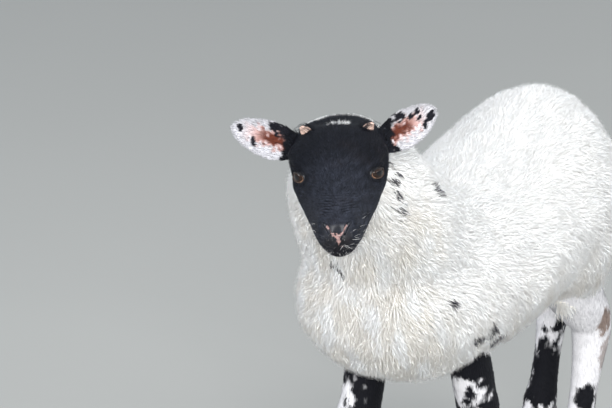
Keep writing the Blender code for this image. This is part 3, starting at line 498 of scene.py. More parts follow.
def limb(name, stations, inset=0.0, rings=60, sides=32, powers=(2.1, 2.1)):
    rows = through(stations, rings)
    found = []
    for index, (x, y, z, wide, deep) in enumerate(rows):
        before, after = rows[max(index - 1, 0)], rows[min(index + 1, rings - 1)]
        along = Vector(after[:3] - before[:3]).normalized()
        up = Vector((1, 0, 0)).cross(along).normalized()
        side = along.cross(up).normalized()
        wide, deep = wide - inset, deep - inset
        found.append(oval(Vector((x, y, z)), side, up, wide, deep, deep, powers, sides))
    return loft(name, found)


def leg_path(stations, place, hem, depth):
    x, y, stride = place
    rows = []
    for back, height, wide, deep, share in stations:
        inset = depth * min(max((height - hem + WOOL_FADE / 2) / WOOL_FADE, 0), 1)
        rows.append((x, y + back + stride * share, height, wide - inset, deep - inset))
    return rows


def deselect():
    for thing in bpy.context.scene.objects:
        thing.select_set(False)


def take(thing):
    """Makes this the only selected object and the active one."""
    deselect()
    thing.select_set(True)
    bpy.context.view_layer.objects.active = thing


def modifier(thing, kind, **values):
    """Adds a modifier with these values and applies it."""
    take(thing)
    made = thing.modifiers.new(kind, kind)
    for key, value in values.items():
        setattr(made, key, value)
    bpy.ops.object.modifier_apply(modifier=made.name)


def join(body, other, operation):
    modifier(body, "BOOLEAN", operation=operation, solver="MANIFOLD", object=other)
    bpy.data.objects.remove(other)


def order_faces(mesh):
    """Sorts the faces by their corners, because a Boolean leaves them in no set order."""
    places = mesh_places(mesh)
    faces = sorted((list(polygon.vertices) for polygon in mesh.polygons), key=sorted)
    mesh.clear_geometry()
    mesh.from_pydata(places.tolist(), [], faces)


def head_frame():
    turn = Matrix.Rotation(HEAD_TURN, 3, "Z") @ Matrix.Rotation(HEAD_DROP, 3, "X")
    turn = turn @ Matrix.Rotation(HEAD_TILT, 3, "Y")
    return Matrix.Translation(HEAD_AT) @ turn.to_4x4()


def ear_frame(name, side):
    turn = Matrix.Rotation(EAR_FACE, 3, "X") @ Matrix.Rotation(-EAR_RISE[name], 3, "Y")
    turn = Matrix.Rotation(EAR_BACK[name], 3, "Z") @ turn
    mirror = Matrix.Diagonal((side, 1, 1))
    return Matrix.Translation(mirrored(EAR_ROOT, side)) @ (mirror @ turn).to_4x4()


def mirrored(place, side):
    return Vector((place[0] * side, place[1], place[2]))


def eye_turn(side):
    looks = mirrored(EYE_LOOKS, side)
    along = Vector((0, -1, EYE_SLOPE))
    along = (along - looks * along.dot(looks)).normalized()
    return Matrix((along, looks.cross(along), looks)).transposed()


def moved(places, matrix):
    """An array of places carried by a matrix."""
    matrix = np.array(matrix)
    return places @ matrix[:3, :3].T + matrix[:3, 3]


def headed(vectors, matrix):
    return vectors @ np.array(matrix)[:3, :3].T


TO_HEAD = head_frame().inverted()
eye_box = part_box("eye_left")
SHIFT = head_frame() @ Vector(EYE_CENTRE) - (eye_box[0] + eye_box[1]) / 2


def mesh_places(mesh):
    found = np.zeros(len(mesh.vertices) * 3)
    mesh.vertices.foreach_get("co", found)
    return found.reshape(-1, 3)


def mesh_normals(mesh):
    found = np.zeros(len(mesh.vertices) * 3, np.float32)
    mesh.vertex_normals.foreach_get("vector", found)
    return found.reshape(-1, 3).astype(float)


def tree_of(thing):
    return BVHTree.FromPolygons(
        [vertex.co for vertex in thing.data.vertices],
        [polygon.vertices for polygon in thing.data.polygons],
    )


def nearest(points, places):
    """For each place, the index of the nearest of the points."""
    tree = KDTree(len(points))
    for index, point in enumerate(points):
        tree.insert(Vector(point), index)
    tree.balance()
    return np.array([tree.find(Vector(place))[1] for place in places])


def shade_smooth(mesh):
    mesh.polygons.foreach_set("use_smooth", np.ones(len(mesh.polygons), bool))


def keep_values(mesh, name, kind, values):
    """Stores a value for each vertex of the mesh."""
    layers = mesh.color_attributes if kind == "FLOAT_COLOR" else mesh.attributes
    layer = layers.new(name=name, type=kind, domain="POINT")
    field = {"FLOAT": "value", "FLOAT_VECTOR": "vector", "FLOAT_COLOR": "color"}[kind]
    layer.data.foreach_set(field, np.asarray(values, np.float32).ravel())


def opaque(colours):
    return np.concatenate((colours, np.ones((*colours.shape[:-1], 1))), axis=-1)


def set_places(mesh, places):
    mesh.vertices.foreach_set("co", np.asarray(places, np.float32).ravel())
    mesh.update()


def coronet_places():
    """Each foot: name, leg's end, X, Y of the coronet, and X, Y of the dewclaws."""
    found = []
    for end, stations, places in (("fore", FORELEG, FORELEG_AT), ("hind", HINDLEG, HINDLEG_AT)):
        for name in SIDES:
            x, y, stride = places[name]
            low = stations[-2]
            fetlock = next(row for row in stations if row[1] < FETLOCK_HEIGHT)
            found.append((end, name, x, y + low[0] + stride, y + fetlock[0] + stride + fetlock[3]))
    return found


def body_skin():
    """Trunk, neck, tail and legs melted into one body, with the feet cut off at the coronet."""
    body = trunk(CORE_DEPTH)
    others = [limb("neck", NECK, CORE_DEPTH), limb("tail", TAIL, CORE_DEPTH * TAIL_CORE)]
    for stations, place, hem in LEGS:
        others.append(limb("leg", leg_path(stations, place, hem, CORE_DEPTH), 0.0, 90, 32))
    take(body)
    for other in others:
        other.select_set(True)
    bpy.ops.object.join()
    modifier(body, "REMESH", mode="VOXEL", voxel_size=BODY_GRAIN)
    modifier(body, "SMOOTH", factor=0.5, iterations=BODY_PASSES)
    woolly = body.vertex_groups.new(name="woolly")
    high = [vertex.index for vertex in body.data.vertices if vertex.co.z > MELT_ABOVE]
    woolly.add(high, 1.0, "REPLACE")
    modifier(body, "SMOOTH", factor=0.5, iterations=MELT_PASSES, vertex_group="woolly")
    places = mesh_places(body.data)
    share = smoothstep(0.262, 0.295, places[:, 2]) * smoothstep(-0.070, -0.110, places[:, 1])
    share *= 1 - smoothstep(0.370, 0.410, places[:, 2])
    levels = np.round(share * 10).astype(int)
    crease = body.vertex_groups.new(name="crease")
    for level in range(1, 11):
        crease.add(np.flatnonzero(levels == level).tolist(), level / 10, "REPLACE")
    modifier(body, "SMOOTH", factor=0.5, iterations=CREASE_PASSES, vertex_group="crease")
    for _, _, x, y, _ in coronet_places():
        turn = Matrix.Rotation(CORONET_SLANT, 3, "X")
        deselect()
        bpy.ops.mesh.primitive_cube_add(size=0.06)
        block = bpy.context.active_object
        centre = Vector((x, y, CORONET_HEIGHT)) - turn @ Vector((0, 0, 0.03))
        block.data.transform(Matrix.Translation(centre) @ turn.to_4x4())
        join(body, block, "DIFFERENCE")
    return body


def shaped(points):
    """The head's swellings and hollows on both sides."""
    found = points.copy()
    for centre, radii, push in HEAD_FORMS:
        for side in SIDES.values():
            flip = np.array((side, 1, 1))
            near = np.exp(-(((points - flip * centre) / radii) ** 2).sum(axis=-1))
            found += near[..., None] * flip * push
    return found


def head_rings(rings, sides):
    found = []
    for ahead, wide, top, bottom, widest, above, below in through(HEAD, rings):
        ring = []
        for step in range(sides):
            angle = 2 * math.pi * step / sides
            upper = math.sin(angle) > 0
            across, rise = rounded(angle, above if upper else below)
            high = top - widest if upper else widest - bottom
            ring.append((across * wide, -ahead, widest + rise * high))
        found.append(ring)
    return shaped(np.array(found))


def mouth_line(ahead):
    back = np.clip((MOUTH_LEVEL - ahead) / (MOUTH_LEVEL - MOUTH_BACK), 0, None)
    return MOUTH_HEIGHT + MOUTH_RISE * back**2


def bump_at(value, centre, wide):
    return np.exp(-(((value - centre) / wide) ** 2))


def wrinkles(places):
    """The fine folds across the bridge of the nose, from -1 in a groove to 1 on a ridge."""
    x, ahead, z = places[:, 0], -places[:, 1], places[:, 2]
    level = WRINKLE_SLANT[0] * ahead + WRINKLE_SLANT[1] * z + 5.0 * x**2
    inside = smoothstep(WRINKLE_SPAN[0] - 0.002, WRINKLE_SPAN[0] + 0.002, level)
    inside *= 1 - smoothstep(WRINKLE_SPAN[1] - 0.002, WRINKLE_SPAN[1] + 0.001, level)
    inside *= (1 - smoothstep(0.010, 0.022, np.abs(x))) * smoothstep(-0.012, 0.0, z)
    wander = 0.5 * ripple(places, 0.016, 3)
    wave = np.sin(2 * math.pi * level / WRINKLE_PITCH + wander * 3.2)
    return wave * inside * (0.55 + 0.75 * ripple(places, 0.011, 4))


def face_relief(places):
    """How far each place of the head stands out: lips, mouth, wrinkles, cleft and hair whorl."""
    x, ahead, z = places[:, 0], -places[:, 1], places[:, 2]
    from_line = z - mouth_line(ahead)
    front = smoothstep(MOUTH_BACK - 0.004, MOUTH_BACK + 0.004, ahead)
    relief = -MOUTH_DEEP * bump_at(from_line, 0, LIP_HALF) * front
    relief += 0.00055 * bump_at(from_line, 0.0023, 0.0016) * front
    relief += 0.00040 * bump_at(from_line, -0.0022, 0.0014) * front
    relief += WRINKLE_DEEP * wrinkles(places)
    cleft = bump_at(x, 0.0006, 0.0011) * smoothstep(0.070, 0.076, ahead)
    relief -= 0.0007 * cleft * smoothstep(-0.0155, -0.013, z) * (1 - smoothstep(-0.005, -0.003, z))
    relief += 0.00045 * bump_at(x, 0, 0.008) * bump_at(ahead, -0.015, 0.014) * smoothstep(0, 0.02, z)
    relief += 0.00030 * ripple(places, 0.030, 5) * smoothstep(0.05, 0.02, ahead)
    for side in SIDES.values():
        away = (places - np.array(mirrored(BROW_AT, side))) / BROW_RADII
        relief += BROW_RISE * np.exp(-(away**2).sum(axis=1))
    return relief


def eye_reach(places, side):
    """How far each place lies from the middle of the eye's opening, 1 at its rim."""
    centre = np.array(mirrored(EYE_CENTRE, side))
    local = (places - centre) @ np.array(eye_turn(side)) * np.array((1, -side, 1))
    reach = np.hypot(local[:, 0] / LID_HALF[0], local[:, 1] / LID_HALF[1])
    return np.where(local[:, 2] > 0, reach, 9.0), local, centre


def lidded(places):
    """Lays the skin round each opening on the ball of the eye, with a fold over it."""
    for side in SIDES.values():
        reach, local, centre = eye_reach(places, side)
        away = np.linalg.norm(local, axis=1)
        want = EYE_RADIUS - 0.0022 + (0.0022 + LID_THICK) * smoothstep(0.72, 1.02, reach)
        above = smoothstep(-0.001, 0.003, local[:, 1])
        want += 0.0007 * bump_at(reach, 1.22, 0.16) * (0.5 + 0.5 * above)
        want -= 0.0006 * bump_at(reach, 1.62, 0.13) * above
        want -= 0.0003 * bump_at(reach, 1.60, 0.14) * (1 - above)
        share = 1 - smoothstep(1.2, 2.5, reach)
        step = (places - centre) / away[:, None] * ((want - away) * share)[:, None]
        places = places + step
    return places


def ring_tube(name, spine, radius, outward, up, sides=10):
    """A closed tube round a closed spine."""
    turns = np.linspace(0, 2 * math.pi, sides, endpoint=False)
    rings = [
        place + radius * (out * math.cos(turn) + rise * math.sin(turn))
        for place, out, rise in zip(spine, outward, up)
        for turn in turns
    ]
    count, faces = len(spine), []
    for ring in range(count):
        near, far = ring * sides, (ring + 1) % count * sides
        for side in range(sides):
            after = (side + 1) % sides
            faces.append((near + side, near + after, far + after, far + side))
    return mesh_object(name, rings, faces)


def lid_rim(side):
    """The moist rim of the opening."""
    turn, centre = np.array(eye_turn(side)), np.array(mirrored(EYE_CENTRE, side))
    spine, outward, up = [], [], []
    for angle in np.linspace(0, 2 * math.pi, 72, endpoint=False):
        flat = np.array((math.cos(angle) * LID_HALF[0], math.sin(angle) * LID_HALF[1])) * 0.97
        out = math.sqrt(EYE_RADIUS**2 - flat @ flat)
        ray = turn @ np.array((*flat, out))
        spine.append(centre + ray * (1 + 0.0006 / EYE_RADIUS))
        outward.append(unit(turn @ np.array((*flat, 0))))
        up.append(unit(ray))
    return ring_tube("rim", spine, 0.00060, outward, up)


def ear_leaf(name, side):
    """A leaf of two skins: widest near its middle, cupped, ribbed near its root."""
    long_steps, wide_steps = EAR_GRID
    front, back = [], []
    for step in np.linspace(0, 0.995, long_steps):
        along = 1 - (1 - step) ** 1.5
        swell = math.sin(min(along / EAR_WIDEST, 1) * math.pi / 2)
        leaf = EAR_HALF * (EAR_ROOT_SHARE + (1 - EAR_ROOT_SHARE) * swell)
        leaf *= (1 - along**EAR_POINT) ** EAR_ROUND
        curl = EAR_CUP * (1 - EAR_FLATTENS * along)
        thick = EAR_THICK * (1 - EAR_FLATTENS * along)
        for place in np.linspace(-1, 1, wide_steps):
            across = math.sin(place * math.pi / 2)
            x = EAR_LONG * along
            y = -curl * (across**2 - 0.4) * leaf / EAR_HALF - EAR_DROOP * along * (1 - along)
            rib = -0.0007 * math.cos(3.2 * math.pi * across) * (1 - along) ** 1.5 * (1 - across**2)
            front.append((x, y + rib, leaf * across))
            back.append((x, y + EAR_RIM + thick * (1 - across**2), leaf * across))
    total, faces = long_steps * wide_steps, []
    for row in range(long_steps - 1):
        for column in range(wide_steps - 1):
            a = row * wide_steps + column
            quad = (a, a + 1, a + 1 + wide_steps, a + wide_steps)
            faces += [quad, tuple(total + corner for corner in reversed(quad))]
    rim = list(range(wide_steps))
    rim += [row * wide_steps + wide_steps - 1 for row in range(1, long_steps)]
    rim += [(long_steps - 1) * wide_steps + column for column in range(wide_steps - 2, -1, -1)]
    rim += [row * wide_steps for row in range(long_steps - 2, 0, -1)]
    for near, far in zip(rim, rim[1:] + rim[:1]):
        faces.append((near, far, total + far, total + near))
    shape = ear_frame(name, side)
    return mesh_object("ear", [shape @ Vector(place) for place in front + back], faces)


def ball(name, centre, radii, turn, segments, rings):
    deselect()
    bpy.ops.mesh.primitive_uv_sphere_add(segments=segments, ring_count=rings, radius=1)
    made = bpy.context.active_object
    made.name = name
    shift = Matrix.Translation(centre) @ turn.to_4x4() @ Matrix.Diagonal((*radii, 1))
    made.data.transform(shift)
    return made


def head_skin():
    """The head with its ears, lids, nostrils and mouth, in the head's own frame."""
    head = loft("head", head_rings(*HEAD_GRID))
    places = mesh_places(head.data)
    places = places + mesh_normals(head.data) * face_relief(places)[:, None]
    set_places(head.data, lidded(places))
    surface = tree_of(head)
    straight = Matrix.Identity(3)
    for name, side in SIDES.items():
        join(head, ear_leaf(name, side), "UNION")
        join(head, lid_rim(side), "UNION")
        eye_at = mirrored(EYE_CENTRE, side)
        socket = ball("socket", eye_at, [EYE_RADIUS + 0.0002] * 3, straight, 64, 40)
        join(head, socket, "DIFFERENCE")
        channel = []
        for x, z, wide, deep in NOSTRIL:
            hit = surface.ray_cast(Vector((x * side, -0.6, z)), Vector((0, 1, 0)))[0]
            channel.append((x * side, hit.y, z, wide, deep))
        join(head, limb("nostril", channel, 0.0, 26, 18), "DIFFERENCE")
    order_faces(head.data)
    head.data.transform(head_frame())
    return head


def hem_of(places):
    """Height where the wool ends on the legs, a little uneven."""
    hem = np.where(places[:, 1] < FORE_FROM_HIND, FORE_HEM + 0.0005, HIND_HEM)
    height, at, slope, low, high = HEM_SLANT
    slant = np.clip(height + slope * (places[:, 0] - at), low, high)
    hem = np.where((places[:, 1] < FORE_FROM_HIND) & (places[:, 0] > 0.02), slant, hem)
    return hem + 0.004 * ripple(places, 0.030, 21)


def leg_distance(places):
    """How far each place lies outside the nearest leg, level with it."""
    found = np.full(len(places), 1.0)
    for stations, place, _ in LEGS:
        rows = through(leg_path(stations, place, 9.0, 0.0), 60)[::-1]
        x, y, wide = (np.interp(places[:, 2], rows[:, 2], rows[:, i]) for i in (0, 1, 4))
        away = np.hypot(places[:, 0] - x, places[:, 1] - y) - wide
        found = np.minimum(found, away)
    return found


def ear_places(local, name):
    return moved(local, ear_frame(name, SIDES[name]).inverted())


UNEVEN = {"wool": 0.02, "face": 0.50, "leg": 0.10, "ear": 0.12}
KINDS = ("wool", "face", "leg", "ear")


def kinds_of(places, head_tree):
    """What grows at each place: an index into the kinds, and how near the head it is."""
    local = moved(places, TO_HEAD)
    kind = np.zeros(len(places), int)
    near = np.zeros(len(places), bool)
    round_head = np.flatnonzero(np.linalg.norm(local, axis=1) < 0.13)
    for index in round_head:
        near[index] = head_tree.find_nearest(Vector(places[index]))[3] < 0.0005
    line = WOOL_LINE[0] + WOOL_LINE[1] * (local[:, 2] + 0.01) + 0.0015 * ripple(places, 0.02, 22)
    kind[near & (local[:, 1] < line)] = 1
    legs = (places[:, 2] < hem_of(places)) & (leg_distance(places) < 0.007) & ~near
    below = (places[:, 1] > 0.095) & (places[:, 2] < hem_of(places) - 0.014)
    legs |= below & (tail_share(places) < 0.3)
    kind[legs] = 2
    for name in SIDES:
        ear = ear_places(local, name)
        inside = (ear[:, 0] > 0.009) & (np.abs(ear[:, 2]) < 0.021) & (np.abs(ear[:, 1]) < 0.014)
        kind[inside & near] = 3
    return kind, near


def spotted(colour, places, marks, wander):
    """Lays marks with uneven edges over the colours."""
    for centre, radii, tint in marks:
        away = np.sqrt((((places - centre) / radii) ** 2).sum(axis=1))
        mask = 1 - smoothstep(0.84, 1.12, away + wander)
        colour = colour + (np.array(tint) - colour) * mask[:, None]
    return colour


def blend(colour, tint, share):
    return colour + (np.array(tint) - colour) * np.asarray(share)[:, None]


def streak(places, first, last, wide):
    """1 on a line between two ends, falling off past its half width."""
    first, last = np.array(first), np.array(last)
    along = last - first
    share = np.clip((places - first) @ along / (along @ along), 0, 1)
    away = np.linalg.norm(places - first - share[:, None] * along, axis=1)
    return 1 - smoothstep(wide * 0.75, wide * 1.35, away)


def paint_wool(places):
    colour = np.tile(np.array(WHITE), (len(places), 1))
    # Cream on the underside and the chest: partly the wool's own cream tone, partly painted shade,
    # darker towards the bottom and in soft clumps.
    underside_cream_and_shade = smoothstep(0.330, 0.235, places[:, 2]) * 0.55
    chest = smoothstep(-0.105, -0.165, places[:, 1]) * smoothstep(0.46, 0.36, places[:, 2])
    clumps = 0.5 + 0.5 * ripple(places, 0.030, 31)
    share = np.clip(underside_cream_and_shade * clumps * 1.3 + 0.95 * chest * clumps + 0.06 * clumps, 0, 0.9)
    colour = blend(colour, CREAM_AND_SHADE, share)
    local = moved(places, TO_HEAD)
    behind = 1 - smoothstep(0.026, 0.036, np.linalg.norm(local - POLL_BLACK, axis=1))
    colour = blend(colour, BLACK, behind * smoothstep(0.0, 0.008, local[:, 2]))
    wander = 0.20 * ripple(places, 0.009, 32)
    return spotted(colour, places, BODY_MARKS, wander)


def paint_leg(places):
    fore = places[:, 1] < FORE_FROM_HIND
    colour = np.where(fore[:, None], np.array(BLACK), np.array(LEG_WHITE))
    wander = 0.22 * ripple(places, 0.012, 33) + 0.10 * ripple(places, 0.004, 34)
    return spotted(colour, places, LEG_MARKS, wander)


def paint_face(places):
    """Black, with the white on the poll, the pink nose and the pale rim of the eyes, and with painted
    sheen and painted shade over the face.
    """
    local = moved(places, TO_HEAD)
    colour = np.tile(np.array(BLACK), (len(places), 1))
    brown = 0.03 * np.clip(ripple(places, 0.03, 35), 0, 1) * smoothstep(0.03, 0.0, local[:, 1])
    colour = blend(colour, BROWN, brown)
    # Painted sheen: a blue-grey reflection laid into the black over the bridge, the muzzle and the
    # cheeks, less on the forehead, in fine flecks.
    painted_sheen_share = 1 - smoothstep(-0.022, 0.004, local[:, 1]) * 0.85
    painted_sheen_share *= 1 - smoothstep(0.0, 0.014, -0.070 - local[:, 1])
    fleck = 0.5 + 0.5 * ripple(places, 0.0016, 43)
    colour = blend(colour, PAINTED_SHEEN, painted_sheen_share * (0.30 + 0.80 * fleck))
    tone_and_brow_shade = 1 + 0.20 * ripple(local, 0.012, 44) + 0.12 * ripple(local, 0.005, 45)
    # Painted shade: darker round each brow ridge.
    for side in SIDES.values():
        away = (local - np.array(mirrored(BROW_AT, side))) / (0.013, 0.016, 0.010)
        tone_and_brow_shade *= 1 - 0.45 * np.exp(-(away**2).sum(axis=1))
    # The wrinkles across the nose are painted darker in their grooves and lighter on their ridges:
    # painted shade and painted highlight.
    colour = colour * (tone_and_brow_shade + 0.50 * np.clip(wrinkles(local), -1, 1))[:, None]
    colour = spotted(colour, local, HEAD_MARKS, 0.20 * ripple(places, 0.006, 36))
    seen = local[:, (0, 2)] + 0.00045 * ripple(places, 0.0034, 37)[:, None]
    front = local[:, 1] < -0.064
    for first, last, wide, tint in NOSE_STREAKS:
        flecks = 1 - 0.55 * smoothstep(0.35, 0.9, ripple(places, 0.0028, 41))
        colour = blend(colour, tint, streak(seen, first, last, wide) * front * flecks)
    for side in SIDES.values():
        reach, spot, _ = eye_reach(local, side)
        # Painted shade: darker round each eye's opening.
        colour = colour * (0.55 + 0.45 * smoothstep(1.3, 2.4, reach))[:, None]
        rim = 1 - smoothstep(1.06, 1.17, reach)
        colour = blend(colour, RIM_DARK, rim)
        below = smoothstep(0.0, -0.0030, spot[:, 1]) * 0.26
        corner = smoothstep(0.0040, 0.0062, spot[:, 0]) * smoothstep(0.003, 0.0005, spot[:, 1])
        back = smoothstep(-0.0040, -0.0060, spot[:, 0]) * 0.08
        pale = np.clip(below + corner + back, 0, 1) * bump_at(reach, 1.04, 0.055)
        pale *= reach < 1.14
        colour = blend(colour, TAN, np.clip(pale, 0, 1))
    return colour


def paint_ear(places):
    local = moved(places, TO_HEAD)
    colour = np.tile(np.array(EAR_WHITE), (len(places), 1))
    for name, side in SIDES.items():
        ear = ear_places(local, name)
        mine = local[:, 0] * side > 0
        leaf = ear[:, 2]
        fine = 0.35 * ripple(places, 0.006, 38)
        inner = smoothstep(0.0012, -0.0008, ear[:, 1] - cup_back(ear))
        along = smoothstep(EAR_PINK[0] + 0.012, EAR_PINK[0] - 0.012, ear[:, 0])
        pink = (1 - smoothstep(0.55, 1.15, np.abs(leaf) / EAR_PINK[1] + fine)) * along * inner
        colour = blend(colour, PINK, 0.80 * pink * mine)
        run = smoothstep(EAR_STREAK[1] + 0.008, EAR_STREAK[1] - 0.008, ear[:, 0])
        rust = (1 - smoothstep(0.5, 1.2, np.abs(leaf) / EAR_STREAK[2] + fine)) * run * inner
        colour = blend(colour, RUST, rust * mine)
        root = ear[:, 0] - 0.30 * leaf + 0.004 * ripple(places, 0.010, 39)
        colour = blend(colour, BLACK, (1 - smoothstep(0.0165, 0.0205, root)) * mine)
        marks = [(centre, (size, 0.006, size), SPECK) for centre, size in EAR_MARKS[name]]
        colour = spotted(colour, local, marks, 0.30 * ripple(places, 0.005, 40))
    return colour


def cup_back(ear):
    """Y of the middle of the ear's leaf, to tell its inside from its back."""
    along = np.clip(ear[:, 0] / EAR_LONG, 0, 1)
    across = np.clip(ear[:, 2] / EAR_HALF, -1, 1)
    curl = EAR_CUP * (1 - EAR_FLATTENS * along)
    return -curl * (across**2 - 0.4) - EAR_DROOP * along * (1 - along) + 0.0008


PAINTS = {"wool": paint_wool, "face": paint_face, "leg": paint_leg, "ear": paint_ear}


def bare_of(places):
    """1 where moist bare skin shows: the nose between the nostrils, the lips and the lids."""
    local = moved(places, TO_HEAD)
    x, ahead, z = local[:, 0], -local[:, 1], local[:, 2]
    pad = smoothstep(0.0665, 0.0705, ahead) * (1 - smoothstep(0.0115, 0.0150, np.abs(x)))
    pad *= smoothstep(-0.0150, -0.0135, z) * (1 - smoothstep(0.0026, 0.0052, z))
    lips = bump_at(z - mouth_line(ahead), 0, 0.0012) * smoothstep(0.042, 0.048, ahead)
    bare = np.maximum(pad, lips)
    for side in SIDES.values():
        reach, spot, _ = eye_reach(local, side)
        ahead_of = 0.28 * smoothstep(0.0, 0.006, spot[:, 0])
        bare = np.maximum(bare, 1 - smoothstep(1.12, 1.24, reach - ahead_of))
        bud = np.array(mirrored(BUD_AT, side))
        bare = np.maximum(bare, np.linalg.norm(local - bud, axis=1) < BUD_FOOT)
    return bare


def lie_of(places, normals, kind, near):
    """Which way the coat lies at each place."""
    local = moved(places, TO_HEAD)
    lie = np.tile(np.array((0.0, 0.80, -0.62)), (len(places), 1))
    top = smoothstep(0.55, 0.9, normals[:, 2])
    lie[:, 2] += 0.5 * top
    low = smoothstep(0.330, 0.245, places[:, 2])
    lie = lie * (1 - low[:, None]) + np.array((0.0, 0.30, -0.95)) * low[:, None]
    tail = tail_share(places)
    lie = lie * (1 - tail[:, None]) + np.array((0.0, 0.15, -1.0)) * tail[:, None]
    lie[kind == 2] = (0.0, 0.14, -1.0)
    spread = np.zeros_like(local)
    spread[:, 0] = 0.32 * np.sign(local[:, 0]) * smoothstep(0.0, 0.012, np.abs(local[:, 0]))
    spread[:, 1] = 1.0
    spread[:, 2] = -0.25 * smoothstep(0.02, -0.03, local[:, 2])
    face = headed(spread, head_frame())
    lie = np.where(near[:, None], face, lie)
    for name, side in SIDES.items():
        tip = np.tile((1.0, 0.0, 0.0), (len(local), 1))
        ear = ear_places(local, name)
        tip[:, 2] = 0.55 * np.clip(ear[:, 2] / EAR_HALF, -1, 1)
        whole = head_frame() @ ear_frame(name, side)
        mine = (kind == 3) & (local[:, 0] * side > 0)
        lie = np.where(mine[:, None], headed(tip, whole), lie)
    lie = lie - normals * (lie * normals).sum(axis=1)[:, None]
    lie = unit(lie)
    wave = np.where(kind == 0, 0.26, 0.16)
    angle = wave * (ripple(places, 0.060, 51) + 0.7 * ripple(places, 0.018, 52))
    across = np.cross(normals, lie)
    return unit(lie * np.cos(angle)[:, None] + across * np.sin(angle)[:, None])


def tail_share(places):
    behind, middle, half = TAIL_PLACE
    beside = 1 - smoothstep(half - 0.004, half + 0.002, np.abs(places[:, 0] - middle))
    return smoothstep(behind - 0.004, behind + 0.006, places[:, 1]) * beside


def wool_depth(places, near):
    """How far the tips of the wool stand out from the skin."""
    depth = np.full(len(places), CORE_DEPTH + 0.0008)
    hem = np.where(places[:, 1] < FORE_FROM_HIND, FORE_HEM, HIND_HEM)
    fade = np.clip((places[:, 2] - hem + WOOL_FADE / 2) / WOOL_FADE, 0.28, 1)
    legs = 1 - smoothstep(0.004, 0.016, leg_distance(places))
    depth *= 1 - legs * (1 - fade)
    depth *= 1 - tail_share(places) * (1 - TAIL_CORE - 0.10)
    depth *= 1 + 0.38 * smoothstep(0.268, 0.236, places[:, 2]) * (1 - legs)
    local = moved(places, TO_HEAD)
    nape = smoothstep(0.092, 0.040, np.linalg.norm(local - NAPE_AT, axis=1))
    nape *= smoothstep(-0.046, -0.018, local[:, 2])
    depth *= 1 - 0.74 * nape
    return np.where(near, 0.0034 - 0.0018 * smoothstep(0.0, 0.012, local[:, 2]), depth)


def roots_on(skin, kind, count, draw):
    """Places spread evenly over the skin's triangles of one kind, with normals and unwrap."""
    vertices, corners, unwrap, kinds, normals = skin
    mine = np.flatnonzero(kinds[corners[:, 0]] == kind)
    abc = vertices[corners[mine]]
    areas = np.linalg.norm(np.cross(abc[:, 1] - abc[:, 0], abc[:, 2] - abc[:, 0]), axis=1)
    total = np.cumsum(areas)
    marks = (np.arange(count) + draw.uniform(size=count)) / count * total[-1]
    picked = np.minimum(np.searchsorted(total, marks), len(mine) - 1)
    shares = draw.dirichlet((1, 1, 1), count)[:, :, None]
    chosen = mine[picked]
    places = (abc[picked] * shares).sum(axis=1)
    facing = unit((normals[corners[chosen]] * shares).sum(axis=1))
    patch = (unwrap[chosen] * shares).sum(axis=1)
    return places, facing, patch


def flat_map(skin):
    """Where each vertex of the skin lies on its unwrap."""
    found = np.zeros((len(skin[0]), 2))
    found[skin[1].ravel()] = skin[2].reshape(-1, 2)
    return found


def tuft_mesh(name, spine, across, sizes, shares, colours, patch):
    """Closed three-sided tufts along their spines, each ending in a point."""
    count, steps = spine.shape[:2]
    rings = steps - 1
    along = unit(np.gradient(spine, axis=1))[:, :rings]
    up = unit(np.cross(along, across[:, None, :]))
    angles = np.radians((90, 210, 330))
    wide = sizes[:, 0][:, None, None, None] * shares[None, :, None, None]
    thick = sizes[:, 1][:, None, None, None] * shares[None, :, None, None]
    cosines, sines = (f(angles)[None, None, :, None] for f in (np.cos, np.sin))
    side = across[:, None, None, :] * cosines * wide + up[:, :, None, :] * sines * thick
    body = (spine[:, :rings, None, :] + side).reshape(count, rings * 3, 3)
    points = np.concatenate((body, spine[:, -1:]), axis=1)
    template = [(2, 1, 0)]
    for ring in range(rings - 1):
        for i in range(3):
            a, b = ring * 3 + i, ring * 3 + (i + 1) % 3
            template += [(a, b, b + 3), (a, b + 3, a + 3)]
    last, tip = (rings - 1) * 3, rings * 3
    template += [(last + i, last + (i + 1) % 3, tip) for i in range(3)]
    template = np.array(template)
    per = rings * 3 + 1
    corners = (template[None] + (np.arange(count) * per)[:, None, None]).reshape(-1)
    mesh = bpy.data.meshes.new(name)
    mesh.vertices.add(count * per)
    mesh.vertices.foreach_set("co", points.astype(np.float32).ravel())
    mesh.loops.add(len(corners))
    mesh.loops.foreach_set("vertex_index", corners.astype(np.int32))
    mesh.polygons.add(len(corners) // 3)
    mesh.polygons.foreach_set("loop_start", np.arange(0, len(corners), 3, dtype=np.int32))
    mesh.update(calc_edges=True)
    shade_smooth(mesh)
    local = np.zeros((per, 2))
    for ring in range(rings):
        local[ring * 3 : ring * 3 + 3, 0] = 2 * ring / rings - 1
        local[ring * 3 : ring * 3 + 3, 1] = np.cos(angles)
    local[-1] = (1, 0)
    places = np.clip(patch, 0.002, 0.998)[:, None, :] + local[None] * TUFT_PATCH
    layer = mesh.uv_layers.new(name="OFBake")
    layer.data.foreach_set("uv", places.reshape(-1, 2)[corners].astype(np.float32).ravel())
    tones = np.concatenate((np.repeat(colours[:, :rings], 3, axis=1), colours[:, -1:]), axis=1)
    keep_values(mesh, "Coat", "FLOAT_COLOR", opaque(tones))
    made = bpy.data.objects.new(name, mesh)
    bpy.context.scene.collection.objects.link(made)
    return made


def soften(mesh, facing):
    """Turns the shading of tufts part way to the skin's, as light scatters in fine wool."""
    per = len(mesh.vertices) // len(facing)
    own = np.empty(len(mesh.vertices) * 3)
    mesh.vertex_normals.foreach_get("vector", own)
    soft = unit(own.reshape(-1, 3) * (1 - SOFTNESS) + np.repeat(facing, per, axis=0) * SOFTNESS)
    mesh.normals_split_custom_set_from_vertices(soft)


def full_share(depth):
    """How long and thick the wool is, 1 where it has its whole depth."""
    return 0.45 + 0.55 * depth / CORE_DEPTH


